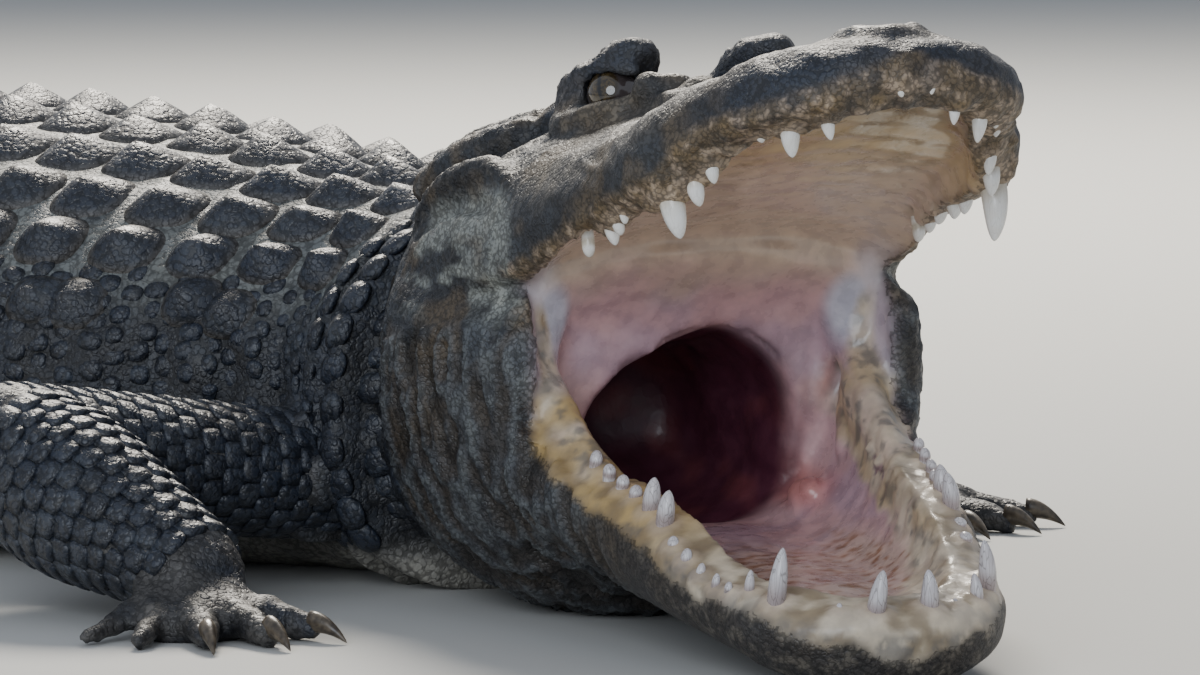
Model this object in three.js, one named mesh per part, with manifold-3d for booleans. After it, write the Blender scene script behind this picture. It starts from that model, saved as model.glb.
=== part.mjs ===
// American alligator, a life-size still model. It lies on its belly, with its head turned to its right and
// its jaws open.
// Millimetres, +Z up, +X is the way the trunk points, +Y is the animal's left. The floor is at z = 0.
import * as THREE from "three";
import { mergeVertices } from "three/addons/utils/BufferGeometryUtils.js";
import Module from "manifold-3d";

const wasm = await Module();
wasm.setup();

// The frame's origin, the middle of the part's footprint, measured from the floor under the jaw hinge.
const ORIGIN = { x: -1069, y: 57 };

// Head pose. The jaw hinge is the middle of the line through both jaw joints.
const HINGE_HEIGHT = 147;
const HEAD_TURN = -32.3; // degrees, from the trunk's heading to the animal's right
const HEAD_ROLL = 0.8;
const UPPER_PITCH = 21.2; // degrees above level
const LOWER_PITCH = -16.2;
const GAP = 0.3; // between touching pieces
const HEAD_BACK = -35; // the level plane behind the hinge where the head meets the neck

// Upper jaw and skull, in the upper jaw's frame: x forward of the hinge, z up from the tooth line.
const SNOUT_TIP = 441;
const SKULL = [
  { at: -60, half: 112, top: 70, edge: 8, lip: -20, square: 2.9 },
  { at: -20, half: 126, top: 82, edge: 8, lip: -16, square: 2.9 },
  { at: 30, half: 129, top: 90, edge: 10, lip: -10, square: 2.8 },
  { at: 80, half: 123, top: 91, edge: 10, lip: -8, square: 2.5 },
  { at: 130, half: 114, top: 84, edge: 9, lip: -8, square: 2.2 },
  { at: 175, half: 107, top: 71, edge: 8, lip: -9, square: 2.1 },
  { at: 215, half: 102, top: 59, edge: 6, lip: -8, square: 2.1 },
  { at: 250, half: 100, top: 52, edge: 5, lip: -9, square: 2.2 },
  { at: 285, half: 102, top: 47, edge: 2, lip: -15, square: 2.3 },
  { at: 312, half: 103, top: 44, edge: 0, lip: -19, square: 2.4 },
  { at: 335, half: 94, top: 40, edge: 4, lip: -11, square: 2.4 },
  { at: 358, half: 84, top: 38, edge: 8, lip: -4, square: 2.4 },
  { at: 380, half: 79, top: 36, edge: 8, lip: -6, square: 2.4 },
  { at: 400, half: 70, top: 33, edge: 6, lip: -8, square: 2.3 },
  { at: 418, half: 56, top: 28, edge: 5, lip: -8, square: 2.2 },
  { at: 430, half: 40, top: 22, edge: 6, lip: -6, square: 2.2 },
  { at: 438, half: 22, top: 16, edge: 7, lip: -1, square: 2.1 },
  { at: 441, half: 6, top: 12, edge: 8, lip: 4, square: 2 },
];
// The palate, cut up into the upper jaw between the tooth rows.
const PALATE = [
  { at: 60, half: 92, rise: 16 },
  { at: 120, half: 92, rise: 13 },
  { at: 190, half: 84, rise: 9 },
  { at: 250, half: 80, rise: 7 },
  { at: 310, half: 76, rise: 5 },
  { at: 350, half: 58, rise: 6 },
  { at: 385, half: 44, rise: 7 },
  { at: 410, half: 26, rise: 6 },
  { at: 418, half: 8, rise: 2 },
];
// Lower jaw, in its own frame: z up from the tooth line.
const CHIN_TIP = 413;
const JAW = [
  { at: -60, half: 118, floor: -74, edge: -20, rim: 4 },
  { at: -20, half: 128, floor: -82, edge: -22, rim: 6 },
  { at: 40, half: 128, floor: -86, edge: -26, rim: 6 },
  { at: 100, half: 119, floor: -83, edge: -26, rim: 6 },
  { at: 160, half: 107, floor: -76, edge: -22, rim: 6 },
  { at: 215, half: 98, floor: -69, edge: -18, rim: 6 },
  { at: 265, half: 92, floor: -63, edge: -16, rim: 9 },
  { at: 300, half: 85, floor: -57, edge: -15, rim: 5 },
  { at: 335, half: 77, floor: -51, edge: -15, rim: 2 },
  { at: 365, half: 71, floor: -46, edge: -15, rim: 7 },
  { at: 385, half: 62, floor: -42, edge: -14, rim: 7 },
  { at: 400, half: 48, floor: -38, edge: -12, rim: 7 },
  { at: 409, half: 31, floor: -32, edge: -10, rim: 5 },
  { at: 413, half: 12, floor: -22, edge: -8, rim: -1 },
];
// The mouth's floor, cut down into the lower jaw between its tooth rows.
const MOUTH_FLOOR = [
  { at: 92, half: 84, depth: 46 },
  { at: 180, half: 70, depth: 38 },
  { at: 240, half: 62, depth: 30 },
  { at: 300, half: 56, depth: 22 },
  { at: 340, half: 46, depth: 14 },
  { at: 370, half: 30, depth: 7 },
  { at: 380, half: 12, depth: 2 },
];
// Jaw muscles, cheeks and throat round the hinge, in the head's level frame.
const CHEEKS = [
  { at: -70, half: 120, top: 76, mid: -10, floor: -143 },
  { at: -35, half: 128, top: 84, mid: -8, floor: -146 },
  { at: 0, half: 140, top: 82, mid: -8, floor: -149 },
  { at: 40, half: 141, top: 74, mid: -8, floor: -149 },
  { at: 80, half: 131, top: 64, mid: -6, floor: -143 },
  { at: 115, half: 119, top: 56, mid: -2, floor: -130 },
  { at: 150, half: 106, top: 50, mid: 0, floor: -114 },
];
const GAPE_CORNER = 128; // distance of the mouth's corners from the hinge
const GAPE_BACK = 92; // distance of the throat's wall from the hinge
const CAVITY_HALF = 97; // half width of the mouth at its corners
const GULLET = { half: 52, up: 12, down: -86, back: -75, front: 135 }; // the round way into the throat
const WEDGE_REACH = 700; // past the snout's tip
const HEAD_SIDES = 24;
const JAW_SIDES = 22;
const MOUTH_SIDES = 12;

// Teeth: x, y and z of the root, how far the crown stands out, and its width, in each jaw's own frame.
const TOOTH_SINK = 9;
const TOOTH_BEND = 0.16; // how far a crown's tip bends back, for its length
const SMALL_TOOTH = 10; // a crown of this length or less is a plain pin
const UPPER_TEETH = [
  { x: 434, y: 7, z: 2, long: 9, wide: 6 },
  { x: 421, y: 24, z: 0, long: 6, wide: 5 },
  { x: 404, y: 38, z: -2, long: 16, wide: 10 },
  { x: 390, y: 49, z: -3, long: 20, wide: 12 },
  { x: 377, y: 59, z: -2, long: 10, wide: 7 },
  { x: 354, y: 66, z: 0, long: 8, wide: 6 },
  { x: 339, y: 72, z: -3, long: 13, wide: 8 },
  { x: 325, y: 77, z: -7, long: 15, wide: 10 },
  { x: 309, y: 84, z: -10, long: 26, wide: 15 },
  { x: 292, y: 87, z: -9, long: 12, wide: 9 },
  { x: 278, y: 88, z: -6, long: 8, wide: 7 },
  { x: 265, y: 88, z: -4, long: 8, wide: 7 },
  { x: 252, y: 88, z: -2, long: 10, wide: 8 },
  { x: 238, y: 88, z: -2, long: 12, wide: 10 },
  { x: 224, y: 89, z: -3, long: 11, wide: 10 },
  { x: 208, y: 90, z: -3, long: 8, wide: 9 },
  { x: 191, y: 92, z: -3, long: 7, wide: 9 },
];
const LOWER_TEETH = [
  { x: 400, y: 14, z: 5, long: 20, wide: 11 },
  { x: 394, y: 31, z: 4, long: 11, wide: 8 },
  { x: 388, y: 44, z: 4, long: 13, wide: 9 },
  { x: 373, y: 56, z: 5, long: 22, wide: 13 },
  { x: 352, y: 62, z: 0, long: 7, wide: 6 },
  { x: 337, y: 65, z: 0, long: 7, wide: 6 },
  { x: 321, y: 68, z: 1, long: 8, wide: 7 },
  { x: 306, y: 71, z: 2, long: 9, wide: 7 },
  { x: 290, y: 74, z: 4, long: 10, wide: 8 },
  { x: 272, y: 77, z: 5, long: 15, wide: 11 },
  { x: 252, y: 79, z: 5, long: 14, wide: 12 },
  { x: 235, y: 80, z: 4, long: 9, wide: 10 },
  { x: 220, y: 82, z: 4, long: 8, wide: 10 },
  { x: 205, y: 84, z: 4, long: 8, wide: 10 },
  { x: 190, y: 86, z: 4, long: 7, wide: 10 },
];

// Spine: the heading of the back, in degrees from +X, at distances behind the head's back plane.
const SPINE = [
  { at: 0, heading: -32.3 },
  { at: 60, heading: -24 },
  { at: 180, heading: -4 },
  { at: 300, heading: 1 },
  { at: 600, heading: 2 },
  { at: 950, heading: -2 },
  { at: 1250, heading: -14 },
  { at: 1600, heading: -24 },
  { at: 1950, heading: -14 },
  { at: 2250, heading: 8 },
  { at: 2540, heading: 24 },
];
const TAIL_TIP = 2540;
const BACK_ROUNDNESS = 2.15; // 2 is an ellipse, more is squarer
const FACET_DEPTH = 1.4; // how far the flat facets lie inside the true curve
const BODY_SIDES = 24;
const TAIL_SIDES = 18;
const TAIL_SIDES_FROM = 1300;
const TRUNK = [
  { at: 0, half: 122, top: 222, mid: 110, floor: 8, flat: 2.4 },
  { at: 30, half: 143, top: 222, mid: 104, floor: 0, flat: 2.6 },
  { at: 60, half: 150, top: 220, mid: 100, floor: -3, flat: 2.8 },
  { at: 95, half: 147, top: 216, mid: 100, floor: -4, flat: 2.9 },
  { at: 135, half: 146, top: 213, mid: 102, floor: -4, flat: 3 },
  { at: 180, half: 156, top: 214, mid: 104, floor: -4, flat: 3 },
  { at: 240, half: 178, top: 219, mid: 104, floor: -4, flat: 3.2 },
  { at: 310, half: 202, top: 227, mid: 104, floor: -4, flat: 3.3 },
  { at: 410, half: 225, top: 236, mid: 102, floor: -4, flat: 3.3 },
  { at: 530, half: 238, top: 242, mid: 100, floor: -4, flat: 3.3 },
  { at: 650, half: 240, top: 244, mid: 98, floor: -4, flat: 3.3 },
  { at: 780, half: 226, top: 240, mid: 98, floor: -4, flat: 3.2 },
  { at: 900, half: 196, top: 230, mid: 100, floor: -4, flat: 3 },
  { at: 1000, half: 160, top: 216, mid: 98, floor: -4, flat: 2.8 },
  { at: 1090, half: 132, top: 202, mid: 94, floor: -4, flat: 2.6 },
  { at: 1240, half: 110, top: 183, mid: 84, floor: -4, flat: 2.5 },
  { at: 1440, half: 85, top: 154, mid: 70, floor: -4, flat: 2.4 },
  { at: 1640, half: 63, top: 128, mid: 56, floor: -4, flat: 2.3 },
  { at: 1840, half: 45, top: 103, mid: 44, floor: -4, flat: 2.2 },
  { at: 2040, half: 31, top: 81, mid: 34, floor: -4, flat: 2.2 },
  { at: 2240, half: 20, top: 59, mid: 25, floor: -4, flat: 2.2 },
  { at: 2420, half: 11, top: 36, mid: 15, floor: -3, flat: 2.2 },
  { at: 2510, half: 6, top: 22, mid: 9, floor: -3, flat: 2 },
  { at: 2540, half: 2.5, top: 9, mid: 5, floor: -2, flat: 2 },
];
// Scutes grow in rows across the body, and every cut between two lengths lies midway between two rows.
const ROW_STEP = 46;
const FIRST_CUT = 116;
// Each length ends after a number of rows. Its first rows, where it bends, have a ring of skin each.
const CUTS = [
  { name: "neck", rows: 0, close: 3 },
  { name: "torso_front", rows: 11, close: 3 },
  { name: "torso_rear", rows: 20, close: 1 },
  { name: "tail_1", rows: 26, close: 0 },
  { name: "tail_2", rows: 32, close: 0 },
  { name: "tail_3", rows: 38, close: 0 },
  { name: "tail_4", rows: 45, close: 0 },
];
// The scutes' places: distance behind the head, turn in degrees from the middle of the back, and the sizes of
// their roots.
const NAPE_SCUTES = [
  { at: 15, turn: 7.5, long: 24, wide: 34, high: 8 },
  { at: 15, turn: 22.5, long: 24, wide: 32, high: 7 },
  { at: 49, turn: 9, long: 40, wide: 46, high: 14 },
  { at: 91, turn: 9, long: 40, wide: 46, high: 14 },
  { at: 70, turn: 27, long: 38, wide: 38, high: 11 },
];
const BACK_COLUMNS = [
  { turn: 7.5, from: 139, to: 1013, share: 0.93, high: 12 },
  { turn: 37.5, from: 139, to: 967, share: 0.93, high: 12 },
  { turn: 52.5, from: 185, to: 875, share: 0.8, high: 11, every: 2 },
];
const FLANK_SCUTES = { turn: 67.5, from: 231, to: 783, every: 2, long: 36, wide: 28, high: 9 };
const SCUTE_LONG = 45;
const SCUTE_SINK = 3.5;
const CREST_SINK = 6;
// The column beside the middle one, which rises into the tail's double crest. A plate takes a share of the
// width of its facet.
const CREST = [
  { at: 139, turn: 22.5, high: 12, share: 0.93 },
  { at: 780, turn: 22.5, high: 12, share: 0.93 },
  { at: 1036, turn: 21, high: 19, share: 0.75 },
  { at: 1240, turn: 20.5, high: 26, share: 0.65 },
  { at: 1480, turn: 18, high: 30, share: 0.6 },
  { at: 1703, turn: 12, high: 32, share: 0.65 },
];
const SINGLE_CREST = [
  { at: 1749, turn: 0, high: 40, share: 0.9 },
  { at: 2100, turn: 0, high: 34, share: 1.1 },
  { at: 2350, turn: 0, high: 22, share: 1.5 },
  { at: 2485, turn: 0, high: 11, share: 2.2 },
];
const CREST_LEAN = 0.34; // how far a crest plate's top lies behind its root, for its height

// Limbs: joints in the part's plan, measured from the point of the floor under the jaw hinge. Girths are half
// widths and half heights along each length.
const ARMS = {
  right: {
    shoulder: [-150, -30, 56],
    elbow: [-236, -236, 82],
    wrist: [-108, -240, 32],
    hand: [-86, -262, 15],
    fan: -4,
  },
  left: {
    shoulder: [-165, 150, 58],
    elbow: [-228, 340, 82],
    wrist: [-92, 350, 32],
    hand: [-64, 366, 15],
    fan: -4,
  },
};
const UPPER_ARM = [
  { at: 0, wide: 38, high: 33 },
  { at: 0.6, wide: 39, high: 35 },
  { at: 1, wide: 38, high: 37 },
];
const FOREARM = [
  { at: 0, wide: 38, high: 40 },
  { at: 0.35, wide: 42, high: 43 },
  { at: 0.75, wide: 35, high: 33 },
  { at: 1, wide: 31, high: 26 },
];
const PALM = [
  { at: 0, wide: 27, high: 20 },
  { at: 1, wide: 33, high: 15 },
];
const FINGERS = [
  { turn: -44, long: 46, thick: 8.5, claw: 18 },
  { turn: -20, long: 58, thick: 9, claw: 18 },
  { turn: 0, long: 62, thick: 9, claw: 18 },
  { turn: 22, long: 56, thick: 7.5, claw: 0 },
  { turn: 46, long: 44, thick: 6.5, claw: 0 },
];
// Hind limbs: joints measured from the spine at the hip: forward, outward and up.
const HIP_AT = 930;
const LEGS = {
  right: { hip: [0, 70, 104], knee: [112, 262, 88], ankle: [-42, 300, 36], foot: [16, 336, 15], fan: 28 },
  left: { hip: [0, 70, 104], knee: [128, 252, 90], ankle: [-20, 306, 36], foot: [40, 336, 15], fan: 24 },
};
const THIGH = [
  { at: 0, wide: 72, high: 70 },
  { at: 0.5, wide: 62, high: 58 },
  { at: 1, wide: 42, high: 42 },
];
const SHANK = [
  { at: 0, wide: 40, high: 42 },
  { at: 0.35, wide: 42, high: 42 },
  { at: 0.8, wide: 28, high: 28 },
  { at: 1, wide: 26, high: 26 },
];
const SOLE = [
  { at: 0, wide: 27, high: 24 },
  { at: 1, wide: 38, high: 16 },
];
const TOES = [
  { turn: -26, long: 78, thick: 10, claw: 24 },
  { turn: -8, long: 100, thick: 10.5, claw: 24 },
  { turn: 9, long: 104, thick: 10, claw: 24 },
  { turn: 28, long: 88, thick: 8, claw: 0 },
];

// Eyes and the forms on top of the skull, in the upper jaw's frame.
const EYE = { x: 147, y: 46, z: 86, radius: 15 };
const ORBIT = { x: 124, y: 42, z: 84, long: 38, wide: 27, high: 29 };
const LID_SLIT = { turn: 40, out: 12, long: 14, deep: 12, high: 6.5 }; // turned from the snout to the side
const BROW = { x: 136, y: 37, z: 105, long: 30, wide: 18, high: 13 };
const RIDGE = { from: [158, 37, 74], to: [300, 30, 42], round: 8 }; // from the eye to the nose
const EAR_FLAP = { from: [38, 60, 87], to: [97, 55, 93], round: 6 };
const SKULL_TABLE = [
  { at: 8, half: 52, top: 96 },
  { at: 30, half: 60, top: 103 },
  { at: 75, half: 59, top: 105 },
  { at: 118, half: 46, top: 102 },
  { at: 132, half: 34, top: 95 },
];
const NOSE = { x: 396, z: 27, long: 32, wide: 29, high: 10 };
const NOSTRIL = { x: 403, y: 11, z: 37, long: 8, wide: 4, high: 5 };
const TONGUE = [
  { at: 96, half: 40, top: -34 },
  { at: 120, half: 50, top: -28 },
  { at: 200, half: 50, top: -22 },
  { at: 270, half: 42, top: -15 },
  { at: 305, half: 28, top: -13 },
  { at: 318, half: 10, top: -16 },
];

const FINISH = {
  hide: { color: 0x23262b, roughness: 0.55 },
  scales: { color: 0x2c333d, roughness: 0.4 },
  mouth: { color: 0xc98f9a, roughness: 0.35 },
  eye: { color: 0x6b5a2a, roughness: 0.1 },
  claw: { color: 0x3a332c, roughness: 0.35 },
};

// Small helpers
const rad = (degrees) => (degrees * Math.PI) / 180;
const clamp = (v, low, high) => Math.min(high, Math.max(low, v));
const signedPower = (v, power) => Math.sign(v) * Math.abs(v) ** power;
const ROUNDING = 1e9; // sines and cosines are rounded to this part, so that a seam's two sides meet
const rounded = (v) => Math.round(v * ROUNDING) / ROUNDING;

// A repeatable draw from 0 to 1.
function seeded(seed) {
  let state = seed;
  return () => {
    state = (state * 1664525 + 1013904223) % 4294967296;
    return state / 4294967296;
  };
}

// Smooth value of one column of rows at a place: a cubic that never runs past its rows.
function column(rows, key, place) {
  const last = rows.length - 1;
  const x = clamp(place, rows[0].at, rows[last].at);
  let i = 0;
  while (i < last - 1 && x > rows[i + 1].at) i += 1;
  const slope = (k) => (rows[k + 1][key] - rows[k][key]) / (rows[k + 1].at - rows[k].at);
  const tangent = (k) => {
    if (k === 0) return slope(0);
    if (k === last) return slope(last - 1);
    const before = slope(k - 1);
    const after = slope(k);
    return before * after <= 0 ? 0 : (2 * before * after) / (before + after);
  };
  const step = rows[i + 1].at - rows[i].at;
  const t = (x - rows[i].at) / step;
  const [t2, t3] = [t * t, t * t * t];
  return (
    rows[i][key] * (2 * t3 - 3 * t2 + 1) +
    tangent(i) * step * (t3 - 2 * t2 + t) +
    rows[i + 1][key] * (3 * t2 - 2 * t3) +
    tangent(i + 1) * step * (t3 - t2)
  );
}

// Places along a piece: even steps, then closer ones where its end rounds off.
function places(from, tip, step, roundLength, roundSteps) {
  const list = [];
  const shoulder = tip - Math.sign(tip - from) * roundLength;
  const count = Math.max(1, Math.round(Math.abs(shoulder - from) / step));
  for (let i = 0; i < count; i += 1) list.push(from + ((shoulder - from) * i) / count);
  for (let i = 0; i <= roundSteps; i += 1) {
    list.push(shoulder + (tip - shoulder) * Math.sin((i / roundSteps) * (Math.PI / 2)));
  }
  return list;
}

// A closed body drawn over a capped cylinder: place(station, angle, fraction) gives each point of the skin.
function skinned(stations, sides, place) {
  const cylinder = new THREE.CylinderGeometry(1, 1, 1, sides, stations.length - 1, false);
  const position = cylinder.getAttribute("position");
  for (let i = 0; i < position.count; i += 1) {
    const [x, y, z] = [position.getX(i), position.getY(i), position.getZ(i)];
    const station = stations[Math.round((0.5 - y) * (stations.length - 1))];
    const p = place(station, Math.atan2(x, z), Math.hypot(x, z) > 0.5 ? 1 : 0);
    position.setXYZ(i, p.x, p.y, p.z);
  }
  return cylinder;
}

// A three.js geometry as a solid, turned the right way out.
function solid(geometry) {
  const bare = geometry.clone();
  bare.deleteAttribute("normal");
  bare.deleteAttribute("uv");
  const merged = mergeVertices(bare, 1e-3);
  const points = merged.getAttribute("position").array;
  const faces = [];
  const index = merged.index.array;
  let volume = 0;
  for (let i = 0; i < index.length; i += 3) {
    const [a, b, c] = [index[i], index[i + 1], index[i + 2]];
    if (a === b || b === c || a === c) continue;
    const at = (k) => new THREE.Vector3().fromArray(points, 3 * k);
    volume += at(a).dot(at(b).cross(at(c)));
    faces.push(a, b, c);
  }
  if (volume < 0) {
    for (let i = 0; i < faces.length; i += 3) [faces[i + 1], faces[i + 2]] = [faces[i + 2], faces[i + 1]];
  }
  const triVerts = new Uint32Array(faces);
  return new wasm.Manifold(new wasm.Mesh({ numProp: 3, vertProperties: new Float32Array(points), triVerts }));
}

// The largest closed surface of a solid.
function whole(piece) {
  const parts = piece.decompose();
  return parts.reduce((best, part) => (part.volume() > best.volume() ? part : best));
}

const moved = (geometry, matrix) => geometry.clone().applyMatrix4(matrix);
const joined = (pieces) => wasm.Manifold.union(pieces);

// Frames of the head
const levelFrame = new THREE.Matrix4()
  .makeTranslation(0, 0, HINGE_HEIGHT)
  .multiply(new THREE.Matrix4().makeRotationZ(rad(HEAD_TURN)))
  .multiply(new THREE.Matrix4().makeRotationX(rad(HEAD_ROLL)));
const upperFrame = levelFrame.clone().multiply(new THREE.Matrix4().makeRotationY(-rad(UPPER_PITCH)));
const lowerFrame = levelFrame.clone().multiply(new THREE.Matrix4().makeRotationY(-rad(LOWER_PITCH)));

// Cuts a piece with the plane through a point, and keeps the side that the direction points to.
function kept(piece, point, direction) {
  const normal = direction.clone().normalize();
  return piece.trimByPlane(normal.toArray(), normal.dot(point));
}
const onFloor = (piece) => piece.trimByPlane([0, 0, 1], 0);
const inFrame = (frame, x, y, z) => new THREE.Vector3(x, y, z).applyMatrix4(frame);
const alongFrame = (frame, x, y, z) => new THREE.Vector3(x, y, z).transformDirection(frame);

// A rounded section: half widths and heights above and below its widest level.
function section(angle, fraction, half, up, down, upPower, downPower) {
  const c = rounded(fraction * Math.cos(angle));
  const s = rounded(fraction * Math.sin(angle));
  return {
    y: half * signedPower(c, 2 / (s >= 0 ? upPower : downPower)),
    z: s >= 0 ? up * s ** (2 / upPower) : -down * Math.abs(s) ** (2 / downPower),
  };
}

function skullBody() {
  const stations = places(SKULL[0].at, SNOUT_TIP, 27, 58, 6);
  return skinned(stations, HEAD_SIDES, (x, angle, fraction) => {
    const edge = column(SKULL, "edge", x);
    const p = section(
      angle,
      fraction,
      column(SKULL, "half", x),
      column(SKULL, "top", x) - edge,
      edge - column(SKULL, "lip", x),
      column(SKULL, "square", x),
      5,
    );
    return new THREE.Vector3(x, p.y, edge + p.z);
  });
}

function palateCut() {
  const stations = places(PALATE[0].at, PALATE.at(-1).at, 33, 30, 3);
  const down = 60;
  return skinned(stations, MOUTH_SIDES, (x, angle, fraction) => {
    const p = section(angle, fraction, column(PALATE, "half", x), column(PALATE, "rise", x), down, 2.2, 8);
    return new THREE.Vector3(x, p.y, p.z);
  });
}

function jawBody() {
  const stations = places(JAW[0].at, CHIN_TIP, 31, 46, 5);
  return skinned(stations, JAW_SIDES, (x, angle, fraction) => {
    const edge = column(JAW, "edge", x);
    const up = column(JAW, "rim", x) - edge;
    const down = edge - column(JAW, "floor", x);
    const p = section(angle, fraction, column(JAW, "half", x), up, down, 3.2, 2.2);
    return new THREE.Vector3(x, p.y, edge + p.z);
  });
}

function mouthFloorCut(grow) {
  const stations = places(GAPE_BACK, MOUTH_FLOOR.at(-1).at, 33, 30, 3);
  const up = 60;
  return skinned(stations, MOUTH_SIDES, (x, angle, fraction) => {
    const half = column(MOUTH_FLOOR, "half", x) + grow;
    const p = section(angle, fraction, half, up, column(MOUTH_FLOOR, "depth", x) + grow, 8, 2.6);
    return new THREE.Vector3(x, p.y, p.z);
  });
}

function cheekBody() {
  const stations = places(CHEEKS[0].at, CHEEKS.at(-1).at, 28, 20, 3);
  return skinned(stations, HEAD_SIDES, (x, angle, fraction) => {
    const mid = column(CHEEKS, "mid", x);
    const up = column(CHEEKS, "top", x) - mid;
    const down = mid - column(CHEEKS, "floor", x);
    const p = section(angle, fraction, column(CHEEKS, "half", x), up, down, 2.3, 2.5);
    return new THREE.Vector3(x, p.y, mid + p.z);
  });
}

// A wedge about the hinge line, open to the front: the space between the jaws.
function gapeWedge(inner, half) {
  const outer = WEDGE_REACH;
  const [low, high] = [rad(LOWER_PITCH), rad(UPPER_PITCH)];
  const steps = 6;
  const at = (radius, a) => new THREE.Vector2(radius * Math.cos(a), radius * Math.sin(a));
  const outline = [at(outer, high), at(outer, low)];
  for (let i = 0; i <= steps; i += 1) outline.push(at(inner, low + ((high - low) * i) / steps));
  const shape = new THREE.Shape(outline);
  const wedge = new THREE.ExtrudeGeometry(shape, { depth: 2 * half, bevelEnabled: false, steps: 1 });
  return wedge.translate(0, 0, -half).rotateX(Math.PI / 2);
}

// The way into the throat: a tunnel of an arched section along x.
function gulletCut() {
  const stations = places(GULLET.back, GULLET.front, 60, 30, 2);
  const mid = (GULLET.up + GULLET.down) / 2;
  return skinned(stations, 14, (x, angle, fraction) => {
    const p = section(angle, fraction, GULLET.half, GULLET.up - mid, mid - GULLET.down, 2, 2.8);
    return new THREE.Vector3(x, p.y, mid + p.z);
  });
}

// A pointed crown, slightly bent back and to the mouth's inside, with its root sunk in the jaw. A small one
// is a pin.
function tooth(root, side, down) {
  const sign = down ? -1 : 1;
  const rings = [
    { rise: -TOOTH_SINK, width: 1, bend: 0 },
    { rise: 0.5 * root.long, width: 0.84, bend: 0.25 },
    { rise: root.long, width: 0, bend: 1 },
  ];
  const used = root.long > SMALL_TOOTH ? rings : [rings[0], rings[2]];
  return skinned(used, root.wide > 8 ? 5 : 4, ({ rise, width, bend }, angle, fraction) => {
    const r = 0.5 * root.wide * width * fraction;
    const back = bend * root.long * TOOTH_BEND;
    return new THREE.Vector3(
      root.x + r * Math.cos(angle) - back,
      side * (root.y - back * 0.5) + r * Math.sin(angle),
      root.z + sign * rise,
    );
  });
}

function teeth(rows, down, frame, seed) {
  const draw = seeded(seed);
  const list = [];
  for (const side of [-1, 1]) {
    for (const root of rows) {
      const crown = tooth({ ...root, long: root.long * (0.92 + 0.16 * draw()) }, side, down);
      list.push(solid(moved(crown, frame)));
    }
  }
  return list;
}

const SIDES = { right: -1, left: 1 };

function eyeball(sign, grow) {
  const r = EYE.radius + grow;
  return solid(moved(egg({ long: r, wide: r, high: r }, EYE.x, sign * EYE.y, EYE.z, 10), upperFrame));
}

function skullTable() {
  const stations = places(SKULL_TABLE[0].at, SKULL_TABLE.at(-1).at, 36, 16, 2);
  const [up, down] = [24, 34];
  return skinned(stations, 12, (x, angle, fraction) => {
    const p = section(angle, fraction, column(SKULL_TABLE, "half", x), up, down, 4, 4);
    return new THREE.Vector3(x, p.y, column(SKULL_TABLE, "top", x) - up + p.z);
  });
}

// What stands on the skull: its table, orbits, brows, ridges, ear flaps and nose. The lid slits and nostrils
// are cut in.
function skullForms(bare) {
  const added = [skullTable(), egg(NOSE, NOSE.x, 0, NOSE.z, 10)];
  const cut = [];
  for (const sign of Object.values(SIDES)) {
    added.push(egg(ORBIT, ORBIT.x, sign * ORBIT.y, ORBIT.z, 11));
    added.push(egg(BROW, BROW.x, sign * BROW.y, BROW.z, 9));
    for (const { from, to, round } of [RIDGE, EAR_FLAP]) {
      const girth = [0, 1].map((at) => ({ at, wide: round, high: round }));
      const mirrored = ([x, y, z]) => [x, sign * y, z];
      added.push(limbLength(mirrored(from), mirrored(to), girth, 5, 0, 1));
    }
    const turn = rad(LID_SLIT.turn);
    const { deep, long: wide, high, out } = LID_SLIT;
    const slit = egg({ long: deep, wide, high }, out, 0, 0, 8);
    cut.push(slit.rotateZ(sign * turn).translate(EYE.x, sign * EYE.y, EYE.z));
    cut.push(egg(NOSTRIL, NOSTRIL.x, sign * NOSTRIL.y, NOSTRIL.z, 6));
  }
  const place = (list) => list.map((geometry) => solid(moved(geometry, upperFrame)));
  const eyes = Object.values(SIDES).map((sign) => eyeball(sign, GAP));
  return joined([bare, ...place(added)]).subtract(joined([...place(cut), ...eyes]));
}

function tonguePad() {
  const stations = places(TONGUE[0].at, TONGUE.at(-1).at, 45, 30, 3);
  const [up, down] = [10, 60];
  const pad = skinned(stations, MOUTH_SIDES, (x, angle, fraction) => {
    const p = section(angle, fraction, column(TONGUE, "half", x), up, down, 2.4, 6);
    return new THREE.Vector3(x, p.y, column(TONGUE, "top", x) - up + p.z);
  });
  return solid(moved(pad, lowerFrame)).intersect(solid(moved(mouthFloorCut(-GAP), lowerFrame)));
}

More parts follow.
